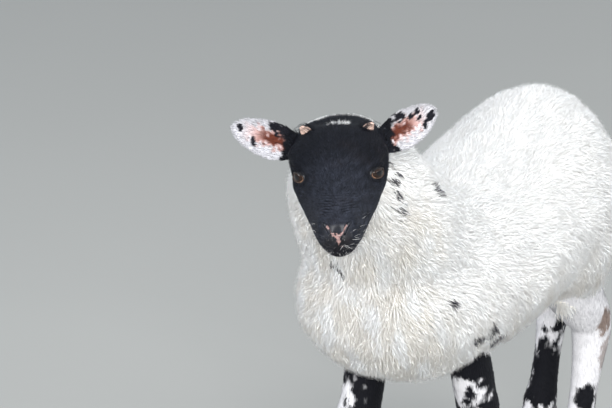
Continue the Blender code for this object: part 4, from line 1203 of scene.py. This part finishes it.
def wool_spines(places, normals, lie, depth, draw):
    """Curved spines that rise from the skin, lie over and draw together into locks."""
    count = len(places)
    long = WOOL_LONG * draw.uniform(0.82, 1.15, count) * full_share(depth)
    high = depth * draw.uniform(0.76, 1.06, count) * (1 + 0.09 * ripple(places, 0.034, 71))
    tips = places + normals * high[:, None] + lie * (0.72 * long)[:, None]
    seeds = draw.choice(count, count // 16, replace=False)
    lock = nearest(places[seeds], places)
    lock_tips = tips[seeds][lock]
    pull = draw.uniform(0.04, 0.30, count)[:, None]
    tips = tips + (lock_tips - tips) * pull
    across = unit(np.cross(lie, normals))
    rooted = places - normals * 0.0010
    rise = places + normals * (high * 0.95)[:, None] + lie * (0.10 * long)[:, None]
    bend = tips - lie * (0.30 * long)[:, None] + normals * (0.10 * high)[:, None]
    phase = draw.uniform(0, 2 * math.pi, len(seeds))[lock][:, None]
    tips = tips + across * (draw.normal(0, 0.0024, count))[:, None]
    steps = np.array((0.0, 0.50, 1.0))
    t = steps[None, :, None]
    spine = (
        rooted[:, None] * (1 - t) ** 3
        + 3 * rise[:, None] * t * (1 - t) ** 2
        + 3 * bend[:, None] * t**2 * (1 - t)
        + tips[:, None] * t**3
    )
    crimp = 0.0008 * np.sin(2 * math.pi * 1.1 * steps[None] + phase) * steps[None]
    return spine + across[:, None] * crimp[:, :, None], across


def hair_spines(places, normals, lie, long, lift, draw):
    count = len(places)
    long = long * draw.uniform(0.78, 1.22, count)
    lift = lift * draw.uniform(0.6, 1.5, count)
    steps = (0.0, 0.5, 1.0)
    rooted = places - normals * 0.0003
    spine = [
        rooted + lie * (long * t)[:, None] + normals * (long * lift * (t - 0.25 * t * t))[:, None]
        for t in steps
    ]
    across = unit(np.cross(lie, normals))
    side = across * (long * draw.normal(0, 0.07, count))[:, None]
    spine[1] = spine[1] + side * 0.4
    spine[2] = spine[2] + side
    return np.stack(spine, axis=1), across


def hair_length(places, kind):
    """Length of the short hair, and how steeply it stands."""
    local = moved(places, TO_HEAD)
    back = smoothstep(-0.070, 0.005, local[:, 1])
    face = 0.0024 + 0.0026 * back + 0.0020 * smoothstep(0.022, 0.042, local[:, 1])
    poll = np.linalg.norm((local - HEAD_MARKS[0][0]) / (0.018, 0.014, 0.02), axis=1)
    face += 0.0022 * (1 - smoothstep(0.6, 1.2, poll))
    for side in SIDES.values():
        bud = np.linalg.norm(local - np.array(mirrored(BUD_AT, side)), axis=1)
        face += 0.0026 * (1 - smoothstep(0.008, 0.014, bud))
    lift = np.full(len(places), 0.21)
    if kind == "leg":
        low = 1 - smoothstep(0.020, 0.050, places[:, 2])
        return 0.0056 + 0.0030 * low, lift
    if kind == "ear":
        return np.full(len(places), 0.0042), lift * 1.1
    return face, lift


def wisps(skin, near):
    """Thin straight ends of wool that stand a little out of the coat, in three pieces."""
    draw = np.random.default_rng(SEED + 2)
    count, wide, thick = WISPS
    places, normals, patch = roots_on(skin, 0, count, draw)
    close = near[nearest(skin[0], places)]
    lie = lie_of(places, normals, np.zeros(count, int), close)
    depth = wool_depth(places, close)
    across = unit(np.cross(lie, normals))
    out = normals * (depth * draw.uniform(0.85, 1.22, count))[:, None]
    long = draw.uniform(0.65, 1.25, count) * depth
    tips = places + out + lie * long[:, None] + across * (draw.normal(0, 0.26, count) * depth)[:, None]
    spine = np.stack((places - normals * 0.0008, tips), axis=1)
    tone = paint_wool(tips) * np.exp(draw.normal(0, 0.03, (count, 1)))
    colours = np.clip(np.repeat(tone[:, None], 2, axis=1), 0, COAT_REACH)
    sizes = draw.uniform(0.8, 1.2, (count, 1)) * np.array((wide, thick))[None]
    sizes *= full_share(depth)[:, None]
    made = []
    for number, part in enumerate(np.array_split(np.argsort(places[:, 1], kind="stable"), 3)):
        piece = tuft_mesh(
            f"wool_wisps_{number + 1}", spine[part], across[part], sizes[part],
            np.array((1.0,)), colours[part], patch[part],
        )
        soften(piece.data, normals[part])
        made.append(piece)
    return made


def coat(skin, near):
    """All tufts, as pieces of less than two hundred thousand triangles."""
    draw = np.random.default_rng(SEED)
    made = []
    for index, kind in enumerate(KINDS):
        count, wide, thick = TUFTS[kind]
        places, normals, patch = roots_on(skin, index, count, draw)
        kinds, close = np.full(count, index), near[nearest(skin[0], places)]
        lie = lie_of(places, normals, kinds, close)
        if kind == "wool":
            spine, across = wool_spines(places, normals, lie, wool_depth(places, close), draw)
            shares = np.array((1.0, 0.64))
            # Painted shade: each tuft darker at its root, where the coat shades it, lighter towards
            # its tip.
            root_to_tip_shade = np.array((0.97, 0.995, 1.005))
        else:
            keep = bare_of(places) < 0.5
            if kind == "ear":
                keep &= draw.uniform(size=count) < 1 - 0.75 * inner_ear(places)
            places, normals, patch, lie = (part[keep] for part in (places, normals, patch, lie))
            count = len(places)
            long, lift = hair_length(places, kind)
            spine, across = hair_spines(places, normals, lie, long, lift, draw)
            shares = np.array((1.0, 0.8))
            # Painted shade: darker at the root, lighter at the tip.
            root_to_tip_shade = np.array((0.86, 1.0, 1.08))
            if kind == "face":
                spine, shares, root_to_tip_shade = spine[:, ::2], shares[:1], root_to_tip_shade[:2]
        seen = 0.5 * (spine[:, -2] + spine[:, -1])
        tone = PAINTS[kind](seen) * np.exp(draw.normal(0, UNEVEN[kind], (count, 1)))
        tone = tone * (1 + 0.02 * ripple(places, 0.015, 61))[:, None]
        colours = np.clip(tone[:, None] * root_to_tip_shade[None, :, None], 0, COAT_REACH)
        vary = draw.uniform(0.8, 1.2, (count, 1))
        if kind == "wool":
            vary *= full_share(wool_depth(places, close))[:, None]
        sizes = vary * np.array((wide, thick))[None]
        pieces = 5 if kind == "wool" else 1
        order = np.array_split(np.argsort(places[:, 1], kind="stable"), pieces)
        for number, part in enumerate(order):
            name = f"{kind}_tufts_{number + 1}" if pieces > 1 else f"{kind}_tufts"
            piece = tuft_mesh(
                name, spine[part], across[part], sizes[part], shares, colours[part], patch[part]
            )
            if kind in ("wool", "leg"):
                soften(piece.data, normals[part])
            made.append((piece, kind))
    return made


def fine_hairs(skin):
    """Whiskers round the mouth and chin, and the lashes of the upper lids."""
    vertices, _, _, kinds, normals = skin
    draw = np.random.default_rng(SEED + 1)
    local = moved(vertices, TO_HEAD)
    level = local[:, 2] - mouth_line(-local[:, 1])
    mouth = (kinds == 1) & (local[:, 1] < -0.046)
    mouth &= (np.abs(level) < 0.0125) & (np.abs(level) > 0.0016)
    chosen = draw.choice(np.flatnonzero(mouth), WHISKERS, replace=False)
    places, facing = vertices[chosen], normals[chosen]
    back = headed(np.tile((0.0, 1.0, -0.5), (WHISKERS, 1)), head_frame())
    out = unit(back * 0.9 + facing * draw.uniform(0.5, 1.0, (WHISKERS, 1)))
    long = draw.uniform(0.004, 0.0095, WHISKERS)
    tones = np.array(WHISKER_TONES)[draw.integers(0, len(WHISKER_TONES), WHISKERS)]
    for side in SIDES.values():
        turn, centre = np.array(eye_turn(side)), np.array(mirrored(EYE_CENTRE, side))
        angle = draw.uniform(0.12, 0.88, LASHES) * math.pi
        flat = np.stack((np.cos(angle) * LID_HALF[0], np.sin(angle) * LID_HALF[1]), axis=1)
        flat *= draw.uniform(1.04, 1.14, LASHES)[:, None] * np.array((1, -side))
        rise = np.sqrt(EYE_RADIUS**2 - (flat**2).sum(axis=1)) + 0.0009
        spots = np.concatenate((flat, rise[:, None]), axis=1)
        aim = spots * np.array((1.0, 1.0, 0.30)) + np.array((-0.002, -side * 0.0015, 0.0))
        places = np.vstack((places, moved(spots @ turn.T + centre, head_frame())))
        out = np.vstack((out, headed(unit(aim) @ turn.T, head_frame())))
        facing = np.vstack((facing, headed(unit(spots) @ turn.T, head_frame())))
        long = np.concatenate((long, draw.uniform(0.0035, 0.0065, LASHES)))
        tones = np.vstack((tones, np.tile(BLACK, (LASHES, 1))))
    count = len(places)
    droop = headed(np.tile((0.0, 0.25, -0.35), (count, 1)), head_frame())
    steps = np.array((-0.06, 0.5, 1.0))
    spine = np.stack(
        [places + (out * t + droop * t * abs(t) * 0.5) * long[:, None] for t in steps], axis=1
    )
    across = unit(np.cross(out, facing + 0.01))
    patch = flat_map(skin)[nearest(vertices, places)]
    sizes = np.tile(WHISKER_HALF, (count, 1))
    colours = np.repeat(tones[:, None], 3, axis=1)
    return tuft_mesh("whiskers_and_lashes", spine, across, sizes, np.array((1.0, 0.8)), colours,
                     patch)


def bud_hair(skin):
    """Black hair of the poll that arches over the horn buds."""
    vertices, _, _, kinds, normals = skin
    draw = np.random.default_rng(SEED + 3)
    local = moved(vertices, TO_HEAD)
    flat = flat_map(skin)
    found = []
    for side in SIDES.values():
        bud = np.array(mirrored(BUD_AT, side))
        gap = np.linalg.norm(local - bud, axis=1)
        inner = (local[:, 0] - bud[0]) * side < 0.0005
        ring = np.flatnonzero((gap > 0.0068) & (gap < 0.0105) & inner & (kinds == 1))
        chosen = draw.choice(ring, BUD_HAIRS)
        shift = draw.normal(0, 0.0005, (BUD_HAIRS, 3))
        facing = normals[chosen]
        aim = np.array((side * 0.9, 0.0, -0.10)) + draw.normal(0, 0.12, (BUD_HAIRS, 3))
        aim[:, 1] += (bud[1] - local[chosen, 1]) * 40
        aim = headed(unit(aim), head_frame())
        long = draw.uniform(0.010, 0.0155, (BUD_HAIRS, 1))
        root = vertices[chosen] + shift - facing * 0.0006
        middle = root + facing * long * 0.42 + aim * long * 0.40
        tip = root + facing * long * 0.16 + aim * long * 1.0
        found.append((np.stack((root, middle, tip), axis=1), facing, aim, flat[chosen]))
    spine, facing, aim, patch = (np.concatenate(part) for part in zip(*found))
    count = len(spine)
    colours = np.tile(np.array(BLACK), (count, 3, 1)) * draw.uniform(0.7, 1.6, (count, 1, 1))
    sizes = np.tile(BUD_HAIR_HALF, (count, 1))
    across = unit(np.cross(aim, facing))
    return tuft_mesh("bud_hair", spine, across, sizes, np.array((1.0, 0.8)), colours, patch)


def inner_ear(places):
    local = moved(places, TO_HEAD)
    found = np.zeros(len(places))
    for name, side in SIDES.items():
        ear = ear_places(local, name)
        inner = smoothstep(0.0012, -0.0008, ear[:, 1] - cup_back(ear))
        middle = 1 - smoothstep(0.4, 1.1, np.abs(ear[:, 2]) / EAR_PINK[1])
        middle *= smoothstep(EAR_PINK[0] + 0.008, EAR_PINK[0] - 0.012, ear[:, 0])
        found = np.maximum(found, inner * middle * (local[:, 0] * side > 0))
    return found


def unwrapped(skin):
    """Unwraps a skin of triangles into its only UV map, and gives the places of their corners."""
    take(skin)
    while skin.data.uv_layers:
        skin.data.uv_layers.remove(skin.data.uv_layers[0])
    skin.data.uv_layers.new(name="OFBake")
    bpy.ops.object.mode_set(mode="EDIT")
    bpy.ops.mesh.select_all(action="SELECT")
    bpy.ops.uv.smart_project(angle_limit=math.radians(66), island_margin=0.001)
    bpy.ops.object.mode_set(mode="OBJECT")
    found = np.zeros(len(skin.data.loops) * 2, np.float32)
    skin.data.uv_layers["OFBake"].data.foreach_get("uv", found)
    return found.reshape(-1, 3, 2)


def make_skin():
    """One skin over the whole lamb, with its unwrap, colours and bare places."""
    head = head_skin()
    head_tree = tree_of(head)
    skin = body_skin()
    join(skin, head, "UNION")
    skin.name = "lamb_skin"
    modifier(skin, "TRIANGULATE")
    mesh, unwrap = skin.data, unwrapped(skin)
    vertices, normals = mesh_places(mesh), mesh_normals(mesh)
    corners = np.zeros(len(mesh.loops), np.int32)
    mesh.loops.foreach_get("vertex_index", corners)
    corners = corners.reshape(-1, 3)
    kinds, near = kinds_of(vertices, head_tree)
    colour = np.zeros((len(vertices), 3))
    for index, kind in enumerate(KINDS):
        mine = kinds == index
        # Painted shade: the skin under the wool is laid a little darker, as the depths of the coat are
        # shaded.
        shade = 0.97 if kind == "wool" else 1.0
        colour[mine] = PAINTS[kind](vertices[mine]) * shade
    keep_values(mesh, "Coat", "FLOAT_COLOR", opaque(np.clip(colour, 0, SKIN_REACH)))
    keep_values(mesh, "Bare", "FLOAT", bare_of(vertices) * (kinds == 1))
    shade_smooth(mesh)
    mesh.update()
    return skin, (vertices, corners, unwrap, kinds, normals), near


def make_eye(name, side):
    """The ball of the eye, with the clear swelling over its iris."""
    eye = ball(f"{name}_eyeball", Vector(), [EYE_RADIUS] * 3, Matrix.Identity(3), 48, 48)
    places = mesh_places(eye.data)
    flat = np.linalg.norm(places[:, :2], axis=1)
    high, inner, outer = EYE_SWELL
    swell = np.where(places[:, 2] > 0, high * (1 - smoothstep(inner, outer, flat)), 0)
    set_places(eye.data, places + unit(places) * swell[:, None])
    keep_values(eye.data, "Gaze", "FLOAT_VECTOR", places / EYE_RADIUS)
    centre = Matrix.Translation(mirrored(EYE_CENTRE, side))
    eye.data.transform(head_frame() @ centre @ eye_turn(side).to_4x4())
    shade_smooth(eye.data)
    return eye


def make_bud(name, side):
    """A young horn bud: broad at its foot, narrowing to a blunt tip that leans back."""
    bud = ball(f"{name}_bud", Vector(), (1, 1, 1), Matrix.Identity(3), 32, 24)
    places = mesh_places(bud.data)
    tip = smoothstep(0.0, 1.0, places[:, 2])
    places[:, :2] *= (1 - 0.22 * tip)[:, None]
    places[:, 1] += 0.25 * tip**2
    places += unit(places) * (0.010 * np.sin(places[:, 2] * 16))[:, None]
    set_places(bud.data, places * np.array(BUD_RADII))
    lean = Matrix.Rotation(side * BUD_LEAN, 4, "Y")
    whole = head_frame() @ Matrix.Translation(mirrored(BUD_AT, side)) @ lean
    bud.data.transform(whole)
    return bud


def make_claw(name, x, y, inner_side, coronet):
    """One claw, from a ring of wall over a flat sole, with a rounded edge."""
    deselect()
    bpy.ops.mesh.primitive_cylinder_add(vertices=32, radius=1, depth=1, location=(0, 0, 0.5))
    bpy.ops.object.transform_apply(location=True)
    claw = bpy.context.active_object
    claw.name = name
    bpy.ops.object.mode_set(mode="EDIT")
    bpy.ops.mesh.select_all(action="DESELECT")
    bpy.ops.object.mode_set(mode="OBJECT")
    for face in claw.data.polygons:
        face.select = face.normal.z < -0.5
    bpy.ops.object.mode_set(mode="EDIT")
    bpy.ops.mesh.bevel(offset=CLAW_EDGE, segments=3, affect="EDGES")
    for height in CLAW_RINGS:
        bpy.ops.mesh.select_all(action="SELECT")
        bpy.ops.mesh.bisect(plane_co=(0, 0, height), plane_no=(0, 0, 1))
    bpy.ops.object.mode_set(mode="OBJECT")
    places = mesh_places(claw.data)
    height = places[:, 2] * CLAW_WALL[-1][0]
    share, lean = (
        np.interp(height, [row[0] for row in CLAW_WALL], [row[i] for row in CLAW_WALL])
        for i in (1, 2)
    )
    radius = np.hypot(places[:, 0], places[:, 1])
    angle = np.arctan2(places[:, 1], places[:, 0])
    across, along = (
        np.sign(f(angle)) * np.abs(f(angle)) ** (2 / CLAW_POWER) * radius for f in (np.cos, np.sin)
    )
    wide = CLAW_WIDE / 2 * share
    taper = 1 - CLAW_TAPER * np.clip(-along, 0, None)
    groove = 1 + CLAW_GROOVE[0] * np.sin(height * 2 * math.pi / CLAW_GROOVE[1])
    aside = x + inner_side * (wide - CLAW_WIDE / 2) + across * wide * taper * groove
    back = y - TOE_AHEAD + lean * CLAW_LEAN + along * CLAW_LONG / 2 * share * groove
    set_places(claw.data, np.stack((aside, back, height), axis=1))
    normal = Matrix.Rotation(CORONET_SLANT, 3, "X") @ Vector((0, 0, 1))
    take(claw)
    bpy.ops.object.mode_set(mode="EDIT")
    bpy.ops.mesh.select_all(action="SELECT")
    bpy.ops.mesh.bisect(
        plane_co=coronet + normal * CLAW_SUNK, plane_no=normal, clear_outer=True, use_fill=True
    )
    bpy.ops.object.mode_set(mode="OBJECT")
    return claw


def make_dewclaw(name, x, y, away):
    """A small blunt claw behind the fetlock, pointing back and down."""
    lean = Matrix.Rotation(DEWCLAW_LEAN, 3, "X")
    centre = Vector((x + away * DEWCLAW_OUT, y, DEWCLAW_HEIGHT))
    dewclaw = ball(name, Vector(), (1, 1, 1), Matrix.Identity(3), 24, 16)
    places = mesh_places(dewclaw.data)
    low = smoothstep(0.2, -1.0, places[:, 2])
    places[:, :2] *= (1 - DEWCLAW_TAPER * low)[:, None]
    places[:, 1] += DEWCLAW_TAPER * low
    set_places(dewclaw.data, places * np.array(DEWCLAW_RADII))
    dewclaw.data.transform(Matrix.Translation(centre) @ lean.to_4x4())
    return dewclaw


def node_group(name, inputs, outputs):
    """An empty shader group with these sockets, and its ends."""
    group = bpy.data.node_groups.new(name, "ShaderNodeTree")
    for label, kind, value in inputs:
        socket = group.interface.new_socket(label, in_out="INPUT", socket_type=kind)
        if value is not None:
            socket.default_value = value
    for label, kind in outputs:
        group.interface.new_socket(label, in_out="OUTPUT", socket_type=kind)
    return group, group.nodes.new("NodeGroupInput"), group.nodes.new("NodeGroupOutput")


def math_node(tree, operation, first, second):
    node = tree.nodes.new("ShaderNodeMath")
    node.operation = operation
    for socket, value in zip(node.inputs, (first, second)):
        if isinstance(value, (int, float)):
            socket.default_value = value
        else:
            tree.links.new(value, socket)
    return node.outputs[0]


def mottle_group():
    """Fine strands and soft cloudiness: a height and a shade that multiplies a colour."""
    group, start, end = node_group(
        "Strand mottle",
        (
            ("Colour", "NodeSocketColor", (1, 1, 1, 1)),
            ("Strand scale", "NodeSocketFloat", 900.0),
            ("Cloud scale", "NodeSocketFloat", 60.0),
            ("Depth", "NodeSocketFloat", 0.2),
        ),
        (("Colour", "NodeSocketColor"), ("Height", "NodeSocketFloat")),
    )
    places = group.nodes.new("ShaderNodeTexCoord").outputs["Object"]
    found = []
    for label, detail in (("Strand scale", 3.0), ("Cloud scale", 4.0)):
        noise = group.nodes.new("ShaderNodeTexNoise")
        noise.inputs["Detail"].default_value = detail
        group.links.new(places, noise.inputs["Vector"])
        group.links.new(start.outputs[label], noise.inputs["Scale"])
        found.append(noise.outputs["Fac"])
    both = math_node(group, "ADD", found[0], found[1])
    centred = math_node(group, "SUBTRACT", both, 1.0)
    scaled = math_node(group, "MULTIPLY", centred, start.outputs["Depth"])
    shade = math_node(group, "ADD", scaled, 1.0)
    mix = group.nodes.new("ShaderNodeVectorMath")
    mix.operation = "SCALE"
    group.links.new(start.outputs["Colour"], mix.inputs[0])
    group.links.new(shade, mix.inputs["Scale"])
    group.links.new(mix.outputs["Vector"], end.inputs["Colour"])
    group.links.new(found[0], end.inputs["Height"])
    return group


def pebble_group():
    """The pebbled leather of a moist nose, and the rings that young horn grows in."""
    group, start, end = node_group(
        "Pebbles and rings",
        (
            ("Pebble scale", "NodeSocketFloat", 1100.0),
            ("Ring scale", "NodeSocketFloat", 240.0),
        ),
        (("Pebbles", "NodeSocketFloat"), ("Rings", "NodeSocketFloat")),
    )
    places = group.nodes.new("ShaderNodeTexCoord").outputs["Object"]
    cells = group.nodes.new("ShaderNodeTexVoronoi")
    group.links.new(places, cells.inputs["Vector"])
    group.links.new(start.outputs["Pebble scale"], cells.inputs["Scale"])
    group.links.new(cells.outputs["Distance"], end.inputs["Pebbles"])
    rings = group.nodes.new("ShaderNodeTexWave")
    rings.bands_direction = "Z"
    rings.inputs["Distortion"].default_value = 2.0
    rings.inputs["Detail"].default_value = 2.0
    group.links.new(places, rings.inputs["Vector"])
    group.links.new(start.outputs["Ring scale"], rings.inputs["Scale"])
    group.links.new(rings.outputs["Fac"], end.inputs["Rings"])
    return group


def new_material(name, roughness, **values):
    made = bpy.data.materials.new(name)
    made.use_nodes = True
    shader = made.node_tree.nodes["Principled BSDF"]
    shader.inputs["Roughness"].default_value = roughness
    for key, value in values.items():
        shader.inputs[key.replace("_", " ")].default_value = value
    return made, made.node_tree, shader


def place_group(tree, group, **values):
    node = tree.nodes.new("ShaderNodeGroup")
    node.node_tree = group
    for key, value in values.items():
        node.inputs[key.replace("_", " ")].default_value = value
    return node


def bump_node(tree, shader, height, strength, distance):
    node = tree.nodes.new("ShaderNodeBump")
    node.inputs["Strength"].default_value = strength
    node.inputs["Distance"].default_value = distance
    tree.links.new(height, node.inputs["Height"])
    tree.links.new(node.outputs["Normal"], shader.inputs["Normal"])


def ramp_node(tree, share, first, last, places=(0.0, 1.0)):
    """The colour that runs from the first to the last between two places of the share."""
    node = tree.nodes.new("ShaderNodeValToRGB")
    for stop, colour, place in zip(node.color_ramp.elements, (first, last), places):
        stop.color = (*colour, 1)
        stop.position = place
    tree.links.new(share, node.inputs["Fac"])
    return node.outputs["Color"]


def mix_node(tree, share, colour, tint):
    node = tree.nodes.new("ShaderNodeMix")
    node.data_type = "RGBA"
    tree.links.new(share, node.inputs["Factor"])
    tree.links.new(colour, node.inputs["A"])
    node.inputs["B"].default_value = (*tint, 1)
    return node.outputs["Result"]


def attribute(tree, name):
    node = tree.nodes.new("ShaderNodeAttribute")
    node.attribute_name = name
    return node


def coat_material(name, mottle, roughness, strand, depth, bump, **values):
    made, tree, shader = new_material(name, roughness, **values)
    node = place_group(tree, mottle, Strand_scale=strand, Cloud_scale=70.0, Depth=depth)
    tree.links.new(attribute(tree, "Coat").outputs["Color"], node.inputs["Colour"])
    tree.links.new(node.outputs["Colour"], shader.inputs["Base Color"])
    bump_node(tree, shader, node.outputs["Height"], bump, 0.0005)
    return made


def skin_material(mottle, pebbles):
    """Hair-covered skin that turns moist and pebbled where it is bare."""
    made, tree, shader = new_material(
        "Skin", 0.8, Sheen_Weight=0.02, Specular_IOR_Level=0.05, Coat_Roughness=0.28
    )
    node = place_group(tree, mottle, Strand_scale=1300.0, Cloud_scale=90.0, Depth=0.35)
    tree.links.new(attribute(tree, "Coat").outputs["Color"], node.inputs["Colour"])
    tree.links.new(node.outputs["Colour"], shader.inputs["Base Color"])
    bare = attribute(tree, "Bare").outputs["Fac"]
    stone = place_group(tree, pebbles, Pebble_scale=1300.0)
    tree.links.new(math_node(tree, "MULTIPLY", bare, 0.22), shader.inputs["Coat Weight"])
    smooth = math_node(tree, "MULTIPLY", bare, -0.42)
    tree.links.new(math_node(tree, "ADD", smooth, 0.82), shader.inputs["Roughness"])
    hair = math_node(tree, "MULTIPLY", node.outputs["Height"], 0.6)
    stones = math_node(tree, "MULTIPLY", stone.outputs["Pebbles"], bare)
    bump_node(tree, shader, math_node(tree, "ADD", hair, stones), 0.45, 0.0005)
    return made


def eye_material():
    """A brown iris with streaks from the middle, a level slot of a pupil and a dark rim."""
    made, tree, shader = new_material("Eye", 0.04, IOR=1.36)
    gaze = tree.nodes.new("ShaderNodeSeparateXYZ")
    tree.links.new(attribute(tree, "Gaze").outputs["Vector"], gaze.inputs[0])
    x, y = gaze.outputs[0], gaze.outputs[1]
    flat = math_node(tree, "SQRT", math_node(
        tree, "ADD", math_node(tree, "MULTIPLY", x, x), math_node(tree, "MULTIPLY", y, y)
    ), 0.0)
    turn = math_node(tree, "ARCTAN2", y, x)
    join_node = tree.nodes.new("ShaderNodeCombineXYZ")
    tree.links.new(math_node(tree, "MULTIPLY", turn, 9.0), join_node.inputs[0])
    tree.links.new(math_node(tree, "MULTIPLY", flat, 3.0), join_node.inputs[1])
    noise = tree.nodes.new("ShaderNodeTexNoise")
    noise.inputs["Scale"].default_value = 1.0
    noise.inputs["Detail"].default_value = 3.0
    tree.links.new(join_node.outputs[0], noise.inputs["Vector"])
    iris = ramp_node(tree, noise.outputs["Fac"], IRIS[0], IRIS[1], (0.30, 0.75))
    edge = ramp_node(tree, flat, (0, 0, 0), (1, 1, 1), (0.50, 0.62))
    rim = mix_node(tree, edge, iris, IRIS_RIM)
    wide = math_node(tree, "MULTIPLY", x, 1 / PUPIL_HALF[0])
    tall = math_node(tree, "MULTIPLY", y, 1 / PUPIL_HALF[1])
    slot = math_node(tree, "ADD", math_node(tree, "POWER", math_node(
        tree, "ABSOLUTE", wide, 0.0), 4.0), math_node(tree, "MULTIPLY", tall, tall))
    pupil = math_node(tree, "LESS_THAN", slot, 1.0)
    tree.links.new(mix_node(tree, pupil, rim, PUPIL), shader.inputs["Base Color"])
    return made


def horn_material(name, light, dark, roughness, rings, bump, pebbles):
    made, tree, shader = new_material(name, roughness)
    node = place_group(tree, pebbles, Ring_scale=rings)
    tree.links.new(ramp_node(tree, node.outputs["Rings"], dark, light), shader.inputs["Base Color"])
    bump_node(tree, shader, node.outputs["Rings"], bump, 0.0004)
    return made


def dress(piece, look, nodes=()):
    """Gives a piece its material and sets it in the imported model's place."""
    piece.data.materials.clear()
    piece.data.materials.append(look)
    piece.data.transform(Matrix.Translation(-SHIFT))
    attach(piece, "root")
    if nodes:
        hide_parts(*nodes)


def smooth_piece(piece):
    take(piece)
    bpy.ops.object.shade_smooth_by_angle(angle=math.radians(50))


def area_light(name, place, size, energy, colour):
    data = bpy.data.lights.new(name, "AREA")
    data.shape = "DISK"
    data.size = size
    data.energy = energy
    data.color = colour
    light = bpy.data.objects.new(name, data)
    bpy.context.scene.collection.objects.link(light)
    light.location = place
    light.rotation_euler = (Vector(place) - LIT_AT).to_track_quat("Z", "Y").to_euler()


def studio():
    """A pale floor, soft light from above and the photo's camera."""
    deselect()
    bpy.ops.mesh.primitive_grid_add(x_subdivisions=8, y_subdivisions=8, size=24)
    floor = bpy.context.active_object
    floor.name = "studio_floor"
    made, tree, shader = new_material("Floor", 0.9)
    noise = tree.nodes.new("ShaderNodeTexNoise")
    noise.inputs["Scale"].default_value = 1.2
    place = tree.nodes.new("ShaderNodeTexCoord")
    tree.links.new(place.outputs["Object"], noise.inputs["Vector"])
    tree.links.new(ramp_node(tree, noise.outputs["Fac"], *FLOOR), shader.inputs["Base Color"])
    floor.data.materials.append(made)
    world = bpy.data.worlds.new("Studio")
    world.use_nodes = True
    world.node_tree.nodes["Background"].inputs["Color"].default_value = (0.90, 0.95, 1.0, 1)
    world.node_tree.nodes["Background"].inputs["Strength"].default_value = 1.0
    bpy.context.scene.world = world
    bpy.context.scene.view_settings.view_transform = "Standard"
    for light in LIGHTS:
        area_light(*light)
    turn, rise = CAMERA_TURN
    away = Vector(
        (math.sin(turn) * math.cos(rise), -math.cos(turn) * math.cos(rise), math.sin(rise))
    )
    data = bpy.data.cameras.new("Camera")
    data.lens = CAMERA_LENS
    data.sensor_width = 36
    camera = bpy.data.objects.new("Camera", data)
    bpy.context.scene.collection.objects.link(camera)
    camera.location = CAMERA_AT - SHIFT + away * CAMERA_AWAY
    camera.rotation_euler = away.to_track_quat("Z", "Y").to_euler()
    bpy.context.scene.camera = camera


FLESH = ["torso", "neck", "tail", "head"]
FLESH += [f"{part}_{name}" for part in (
    "ear", "forearm", "fore_cannon", "thigh", "shank", "hind_cannon") for name in SIDES]


def main():
    mottle, pebbles = mottle_group(), pebble_group()
    wool = coat_material(
        "Fleece", mottle, 0.95, 1500.0, 0.08, 0.25, Sheen_Weight=0.10, Sheen_Roughness=0.5,
        Specular_IOR_Level=0.10,
        Subsurface_Weight=0.75, Subsurface_Radius=(1.0, 0.92, 0.84), Subsurface_Scale=0.004,
    )
    short = coat_material(
        "Short hair", mottle, 0.50, 2600.0, 0.30, 0.3, Specular_IOR_Level=0.05,
        Sheen_Weight=0.03, Sheen_Roughness=0.35, Sheen_Tint=(0.62, 0.72, 1.0, 1),
    )
    looks = {"wool": wool, "face": short, "leg": short, "ear": short}
    skin, grounds, near = make_skin()
    dress(skin, skin_material(mottle, pebbles), FLESH)
    for piece, kind in coat(grounds, near):
        dress(piece, looks[kind])
    for piece in wisps(grounds, near):
        dress(piece, wool)
    dress(fine_hairs(grounds), short)
    dress(bud_hair(grounds), short)
    eye = eye_material()
    horn = horn_material(
        "Bud horn", (0.46, 0.33, 0.28), (0.38, 0.255, 0.21), 0.5, 150.0, 0.20, pebbles
    )
    hoof = horn_material(
        "Claw horn", (0.024, 0.021, 0.019), (0.016, 0.0145, 0.0135), 0.46, 170.0, 0.05, pebbles
    )
    for name, side in SIDES.items():
        dress(make_eye(name, side), eye, [f"eye_{name}"])
        piece = make_bud(name, side)
        smooth_piece(piece)
        dress(piece, horn, [f"horn_bud_{name}"])
    for end, name, x, y, rear in coronet_places():
        for which, inner_side in (("inner", -1), ("outer", 1)):
            away = inner_side * (1 if x > 0 else -1)
            offset = away * (CLAW_WIDE + CLEFT) / 2
            coronet = Vector((x, y, CORONET_HEIGHT))
            piece = make_claw(f"{end}_{name}_{which}_hoof", x + offset, y, -away, coronet)
            smooth_piece(piece)
            dress(piece, hoof, [f"{end}_claw_{name}_{which}"])
            piece = make_dewclaw(f"{end}_{name}_{which}_spur", x, rear, away)
            smooth_piece(piece)
            dress(piece, hoof, [f"{end}_dewclaw_{name}_{which}"])
    studio()


main()
